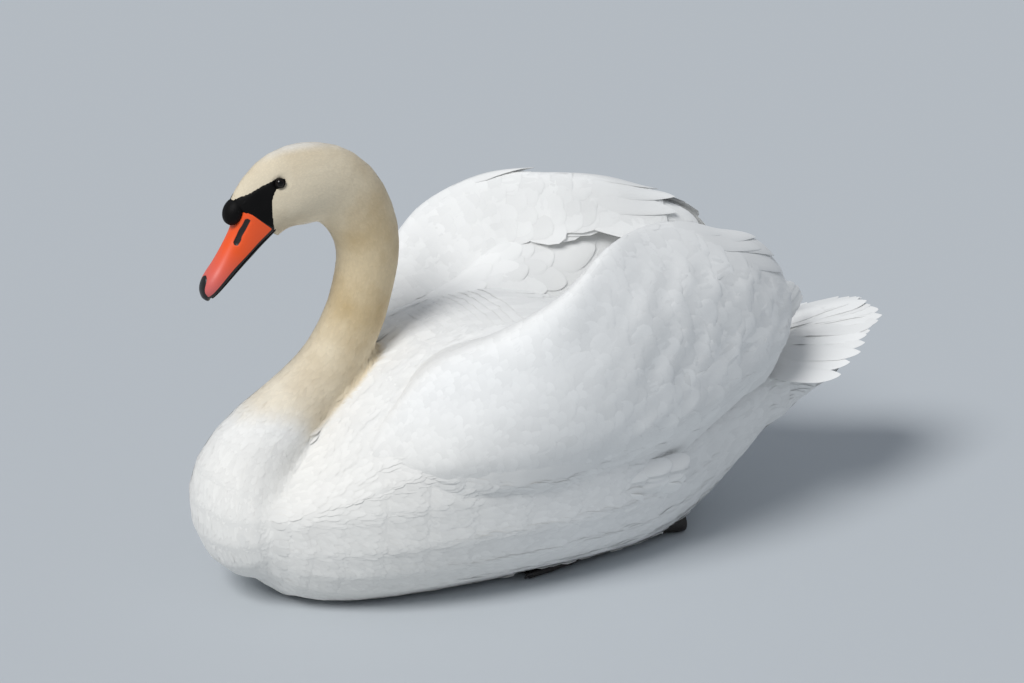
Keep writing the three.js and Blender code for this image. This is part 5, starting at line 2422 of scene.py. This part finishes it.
@dataclass
class Lores:
    """Bare black skin between bill and eye, a thin sheet laid on the head's skin."""

    side: Side
    outline: tuple[tuple[float, float], ...] = LORES
    edge_step: float = 1.0
    step: float = 1.5
    rounds: int = 4  # of softening the outline's corners
    proud: float = 0.75 * MM
    tuck: float = -0.5 * MM
    tuck_width: float = 1.3 * MM
    thickness: float = 0.9 * MM
    far: float = 80 * MM

    def border(self) -> Array:
        """The outline in short, softened steps.

        Returns:
            Its points in millimetres.
        """
        corners = np.array(self.outline, float)
        closed = np.vstack([corners, corners[:1]])
        marks = distances_along(closed)
        at = np.linspace(0, marks[-1], int(marks[-1] / self.edge_step), endpoint=False)
        dense = np.column_stack([np.interp(at, marks, closed[:, k]) for k in range(2)])
        for _ in range(self.rounds):
            dense = 0.5 * dense + 0.25 * (np.roll(dense, 1, axis=0) + np.roll(dense, -1, axis=0))
        return dense

    def sheet(self) -> tuple[Array, list[list[int]], Array]:
        """The flat sheet inside the border.

        Returns:
            Its points in millimetres, its triangles and each point's distance from the border.
        """
        border = self.border()
        lows, highs = border.min(axis=0), border.max(axis=0)
        ranges = [np.arange(low, high, self.step) for low, high in zip(lows, highs)]
        grid = np.stack(np.meshgrid(*ranges), axis=-1).reshape(-1, 2)
        away = np.array([np.linalg.norm(border - p, axis=1).min() for p in grid])
        whole = inside_outline(np.column_stack([np.zeros(len(grid)), grid * MM]), border)
        loose = np.vstack([border, grid[whole & (away > self.step * 0.6)]])
        rim = [(i, (i + 1) % len(border)) for i in range(len(border))]
        made = delaunay_2d_cdt([Vector(p) for p in loose], rim, [list(range(len(border)))], 1, 1e-5)
        flat = np.array([tuple(p) for p in made[0]])
        away = np.array([np.linalg.norm(border - p, axis=1).min() for p in flat])
        return flat, [list(f) for f in made[2]], away

    def build(self, shell: Shell, material: bpy.types.Material) -> None:
        """Makes the sheet on this side.

        Args:
            shell: The head's skin.
            material: The bare skin's finish.
        """
        flat, triangles, away = self.sheet()
        sign = self.side.value
        origins = np.column_stack([np.full(len(flat), sign * self.far), flat * MM])
        places, normals, met = shell.cast(origins, np.tile([-sign, 0.0, 0.0], (len(flat), 1)), self.far)
        rise = self.tuck + (self.proud - self.tuck) * smoothstep(away * MM, 0.0, self.tuck_width)
        upper = places + normals * rise[:, None]
        lower = upper - normals * self.thickness
        kept = [f for f in triangles if met[f].all()]
        used = sorted({v for f in kept for v in f})
        number = {v: i for i, v in enumerate(used)}
        tops: list[Face] = [tuple(number[v] for v in f) for f in kept]
        count = len(used)
        edges = {(f[k], f[(k + 1) % 3]) for f in tops for k in range(3)}
        faces = tops + [tuple(v + count for v in reversed(f)) for f in tops]
        faces += [(b, a, a + count, b + count) for a, b in sorted(edges) if (b, a) not in edges]
        vertices = np.vstack([upper[used], lower[used]])
        made = make_object(f"lores_{self.side.word}", vertices, facing_out(vertices, faces))
        mount(made, material)


@dataclass
class Eye:
    """An eyeball with its lid rim."""

    side: Side
    centre: tuple[float, float, float] = (20.6 * MM, -303.3 * MM, 432.0 * MM)
    radius: float = 5.2 * MM
    look: tuple[float, float, float] = (0.93, -0.30, 0.22)  # which way the pupil faces, on the left
    ball_around: int = 36
    lid_radius: float = 4.1 * MM
    lid_thickness: float = 0.8 * MM
    lid_flat: float = 0.7  # how thick the lid is outwards, against along the skin
    lid_out: float = 2.95 * MM
    lid_tilt: float = 20.0  # degrees that the opening rises to the back
    lid_oval: float = 0.09
    lid_steps: tuple[int, int] = (60, 12)  # points round the opening and round the lid itself

    def basis(self) -> tuple[Array, Array, Array, Array]:
        """The eye's own directions.

        Returns:
            Its centre and three directions, the last one outwards.
        """
        sign = self.side.mirror
        out = unit(np.array(self.look) * sign)
        back = unit(np.cross([0.0, 0.0, 1.0], out)) * self.side.value
        return np.array(self.centre) * sign, back, np.cross(out, back) * self.side.value, out

    def ball(self, material: bpy.types.Material) -> None:
        """Makes the eyeball, with the distance from the pupil's middle written on it.

        Args:
            material: The wet eye's finish.
        """
        centre, back, upward, out = self.basis()
        polar = np.linspace(0.0, math.pi, 26)[1:-1, None]
        turn = round_turn(self.ball_around)[None, :]
        ball = (
            np.cos(polar)[..., None] * out + (np.sin(polar) * np.cos(turn))[..., None] * back
            + (np.sin(polar) * np.sin(turn))[..., None] * upward
        )
        vertices, faces = loft(centre + ball * self.radius)
        vertices[-2:] = centre + np.array([out, -out]) * self.radius
        made = make_object(f"eyeball_{self.side.word}", vertices, faces)
        share = np.repeat(polar.ravel() / (math.pi / 2), self.ball_around)
        mark(made.data, along=np.clip(np.append(share, [0.0, 2.0]), 0, 1))
        mount(made, material, [f"eye_{self.side.word}"])

    def lid(self, material: bpy.types.Material) -> None:
        """Makes the lid, an oval ring round the opening.

        Args:
            material: The bare skin's finish.
        """
        centre, back, upward, out = self.basis()
        rows, sides = self.lid_steps
        around, across = round_turn(rows)[:, None], round_turn(sides)[None, :]
        tilt = math.radians(self.lid_tilt)
        long_way = back * math.cos(tilt) + upward * math.sin(tilt)
        short_way = upward * math.cos(tilt) - back * math.sin(tilt)
        reach = self.lid_radius + self.lid_thickness * np.cos(across)
        wide, high = reach * (1 + self.lid_oval), reach * (1 - self.lid_oval)
        rise = self.lid_out + self.lid_flat * self.lid_thickness * np.sin(across) + 0 * around
        ring = (
            (wide * np.cos(around))[..., None] * long_way + (high * np.sin(around))[..., None] * short_way
            + rise[..., None] * out
        )
        points = (centre + ring).reshape(-1, 3)
        faces: list[Face] = []
        for i in range(rows):
            here, beside = i * sides, (i + 1) % rows * sides
            for j in range(sides):
                k = (j + 1) % sides
                faces.append((here + j, beside + j, beside + k, here + k))
        made = make_object(f"eyelid_{self.side.word}", points, facing_out(points, faces))
        mount(made, material)

    def build(self, eye_material: bpy.types.Material, lid_material: bpy.types.Material) -> None:
        """Makes the eyeball and the lid."""
        self.ball(eye_material)
        self.lid(lid_material)


# ---------------------------------------------------------------------------- feet


@dataclass
class Foot:
    """A tucked foot: shank, three jointed toes, webs between them and blunt claws, in millimetres."""

    side: Side
    hock: tuple[float, float, float] = (57, 128, 11)
    ankle: tuple[float, float, float] = (61, 36, 7.6)
    heel: tuple[float, float] = (61, 24)
    toes: tuple[tuple[tuple[float, float], tuple[float, float]], ...] = (
        ((49, -8), (41, -66)), ((67, -26), (69, -98)), ((83, -12), (97, -72)),
    )  # joint and tip of each toe, x and y
    toe_heights: tuple[float, float, float] = (5.4, 5.6, 3.6)  # at heel, joint and tip
    toe_radius: float = 4.6
    knuckles: tuple[float, ...] = (0.33, 0.56, 0.78)  # places along a toe
    knuckle_width: float = 0.045
    knuckle: float = 0.7  # how far they stand out
    shank_radii: tuple[float, float, float] = (11.4, -4.2, 1.1)  # at the hock, and its changes below
    bridge_radius: float = 6.6
    web_height: float = 1.9
    web_thickness: float = 1.2
    web_draw: float = 11.0  # how far the free edge is drawn back in the middle
    ripple: float = 0.35
    claw_length: float = 9.0
    claw_radius: float = 2.9
    floor: float = 0.3

    def tube(self, path: Array, radii: Array, sides: int = 16) -> tuple[Array, list[Face]]:
        """A closed tube along a path, its underside flattened on the floor, on this foot's side.

        Args:
            path: Its middle line, for the left side.
            radii: Its radius at each point of the line.
            sides: Points round it.

        Returns:
            Vertices in metres and faces.
        """
        lie = unit(np.gradient(path, axis=0))
        beside = unit(np.cross(lie, [0.0, 0.0, 1.0]))
        upward = np.cross(beside, lie)
        turn = round_turn(sides)[None, :, None]
        rings = path[:, None] + radii[:, None, None] * (
            np.cos(turn) * beside[:, None] + np.sin(turn) * upward[:, None]
        )
        rings[..., 2] = np.maximum(rings[..., 2], self.floor)
        return loft(rings * MM * self.side.mirror)

    def toe(self, joint: tuple[float, float], tip: tuple[float, float]) -> tuple[Array, Array]:
        """The middle line and radii of one toe.

        Args:
            joint: x and y of its joint.
            tip: x and y of its tip.

        Returns:
            Points and radii.
        """
        marks = np.column_stack([np.array([self.heel, joint, tip], float), self.toe_heights])
        share = np.linspace(0, 1, 44)
        rises = sum(np.exp(-(((share - at) / self.knuckle_width) ** 2)) for at in self.knuckles)
        return spline(marks, share), self.toe_radius * (1.12 - 0.45 * share) + self.knuckle * rises

    def claw(self, joint: tuple[float, float], tip: tuple[float, float]) -> tuple[Array, list[Face]]:
        """A short curved claw at a toe's end.

        Args:
            joint: x and y of the toe's joint.
            tip: x and y of its tip.

        Returns:
            Vertices in metres and faces.
        """
        end, back = np.array(tip), np.array(joint)
        way = (end - back) / np.linalg.norm(end - back)
        share = np.linspace(0, 1, 12)[:, None]
        height = 4.2 + 1.6 * np.sin(share * 2.2) - 3.8 * share**2
        path = np.hstack([end + way * (share * self.claw_length - 3), height])
        return self.tube(path, self.claw_radius * (1 - share.ravel() ** 1.6) + 0.35, 12)

    def web(self, first: int, second: int) -> tuple[Array, list[Face]]:
        """The thin web between two toes, its free edge drawn back between them.

        Args:
            first: One toe's number.
            second: The other's.

        Returns:
            Vertices in metres and faces.
        """
        path_a, path_b = (self.toe(*self.toes[number])[0] for number in (first, second))
        pick = np.linspace(0, len(path_a) - 3, 26).astype(int)
        share = np.linspace(0, 1, 14)
        between = share[None, :, None]
        sheet = path_a[pick][:, None] * (1 - between) + path_b[pick][:, None] * between
        draw = 4 * share * (1 - share) * self.web_draw
        sheet[..., 1] += draw[None, :] * (np.linspace(0, 1, len(pick)) ** 3)[:, None]
        wave = self.ripple * np.sin(np.linspace(0, 9, len(pick)))
        sheet[..., 2] = self.web_height + wave[:, None] * np.sin(share * math.pi)[None, :]
        lower = sheet - np.array([0, 0, self.web_thickness])
        return loft(np.concatenate([sheet, lower[:, ::-1]], axis=1) * MM * self.side.mirror)

    def build(self, skin: bpy.types.Material, horn: bpy.types.Material) -> None:
        """Makes leg, foot and claws.

        Args:
            skin: The scaly skin's finish.
            horn: The claws' finish.
        """
        share = np.linspace(0, 1, 30)
        path = np.array(self.hock) * (1 - share[:, None]) + np.array(self.ankle) * share[:, None]
        thick, thinner, ankle = self.shank_radii
        radii = thick + thinner * smoothstep(share, 0.0, 0.35) + ankle * smoothstep(share, 0.75, 1.0)
        bridge = spline(np.array([self.ankle, (*self.heel, 5.6)]), np.linspace(0, 1, 8))
        toes = [self.tube(*self.toe(*toe)) for toe in self.toes] + [self.web(0, 1), self.web(1, 2)]
        toes.append(self.tube(bridge, np.full(8, self.bridge_radius)))
        word = self.side.word
        for name, solids, slot, material, nodes in (
            ("shank", [self.tube(path, radii, 20)], "foot_skin", skin, [f"leg_{word}"]),
            ("toes", toes, "foot_skin", skin, [f"foot_{word}"]),
            ("claws", [self.claw(*toe) for toe in self.toes], "horn_black", horn, []),
        ):
            mount(make_object(f"{name}_{word}", *join_solids(solids)), material, nodes)


# ---------------------------------------------------------------------------- stage


@dataclass(frozen=True)
class Stage:
    """Floor, light and camera."""

    floor_side: float = 14.0
    target: tuple[float, float, float] = (0.0, -0.041956, 0.219755)
    azimuth: float = 62.906
    elevation: float = 20.0
    distance: float = 3.6
    lens: float = 124.135
    sensor: float = 36.0
    key_strength: float = 2.15
    key_angle: float = 26.0  # degrees across, a broad soft source
    key_from: tuple[float, float, float] = (0.35, -0.75, 0.95)
    fill_strength: float = 0.42
    fill_colour: str = "#dfe6f0"

    def floor(self) -> None:
        """Lays the floor."""
        half = self.floor_side / 2
        corners = np.array([(-half, -half, 0), (half, -half, 0), (half, half, 0), (-half, half, 0)])
        floor = make_object("floor", corners, [(0, 1, 2, 3)])
        floor.data.materials.append(FloorPaint().material())

    def lights(self) -> None:
        """Makes one broad key light and an even fill from all round."""
        world = bpy.data.worlds.new("studio")
        bpy.context.scene.world = world
        world.use_nodes = True
        background = world.node_tree.nodes["Background"]
        background.inputs["Color"].default_value = linear(self.fill_colour)
        background.inputs["Strength"].default_value = self.fill_strength
        light = bpy.data.lights.new("key", "SUN")
        light.energy = self.key_strength
        light.angle = math.radians(self.key_angle)
        lamp = bpy.data.objects.new("key", light)
        lamp.rotation_euler = Vector(self.key_from).to_track_quat("Z", "Y").to_euler()
        bpy.context.scene.collection.objects.link(lamp)

    def camera(self) -> None:
        """Places the camera at its distance from the target."""
        around, up = math.radians(self.azimuth), math.radians(self.elevation)
        back = Vector((math.sin(around) * math.cos(up), -math.cos(around) * math.cos(up), math.sin(up)))
        camera = bpy.data.objects.new("camera", bpy.data.cameras.new("camera"))
        camera.data.lens = self.lens
        camera.data.sensor_width = self.sensor
        camera.location = Vector(self.target) + back * self.distance
        camera.rotation_euler = back.to_track_quat("Z", "Y").to_euler()
        bpy.context.scene.collection.objects.link(camera)
        bpy.context.scene.camera = camera
        bpy.context.scene.view_settings.view_transform = "Standard"


# ---------------------------------------------------------------------------- main


def main() -> None:
    """Builds the swan from skin to feathers, then its stage."""
    logging.basicConfig(level=logging.INFO, format="%(message)s")
    coating = Coating(Plumage().material(), Stain())
    bare, horn = BareSkin().material(), BlackHorn().material()
    foot_skin, eye_surface = FootSkin().material(), EyeSurface().material()
    shell = Skin().build(coating)
    coat = Coat(shell)
    coat.neck(coating)
    coat.body(coating)
    for side in Side:
        Wing(side).build(coating)
        FlankFeathers(side).build(coating)
        Lores(side).build(shell, bare)
        Eye(side).build(eye_surface, bare)
        Foot(side).build(foot_skin, horn)
    Mantle().build(coating)
    Tail().build(coating, shell)
    Bill().build(Horn().material(), horn, bare)
    stage = Stage()
    stage.floor()
    stage.lights()
    stage.camera()


if __name__ == "__main__":
    main()
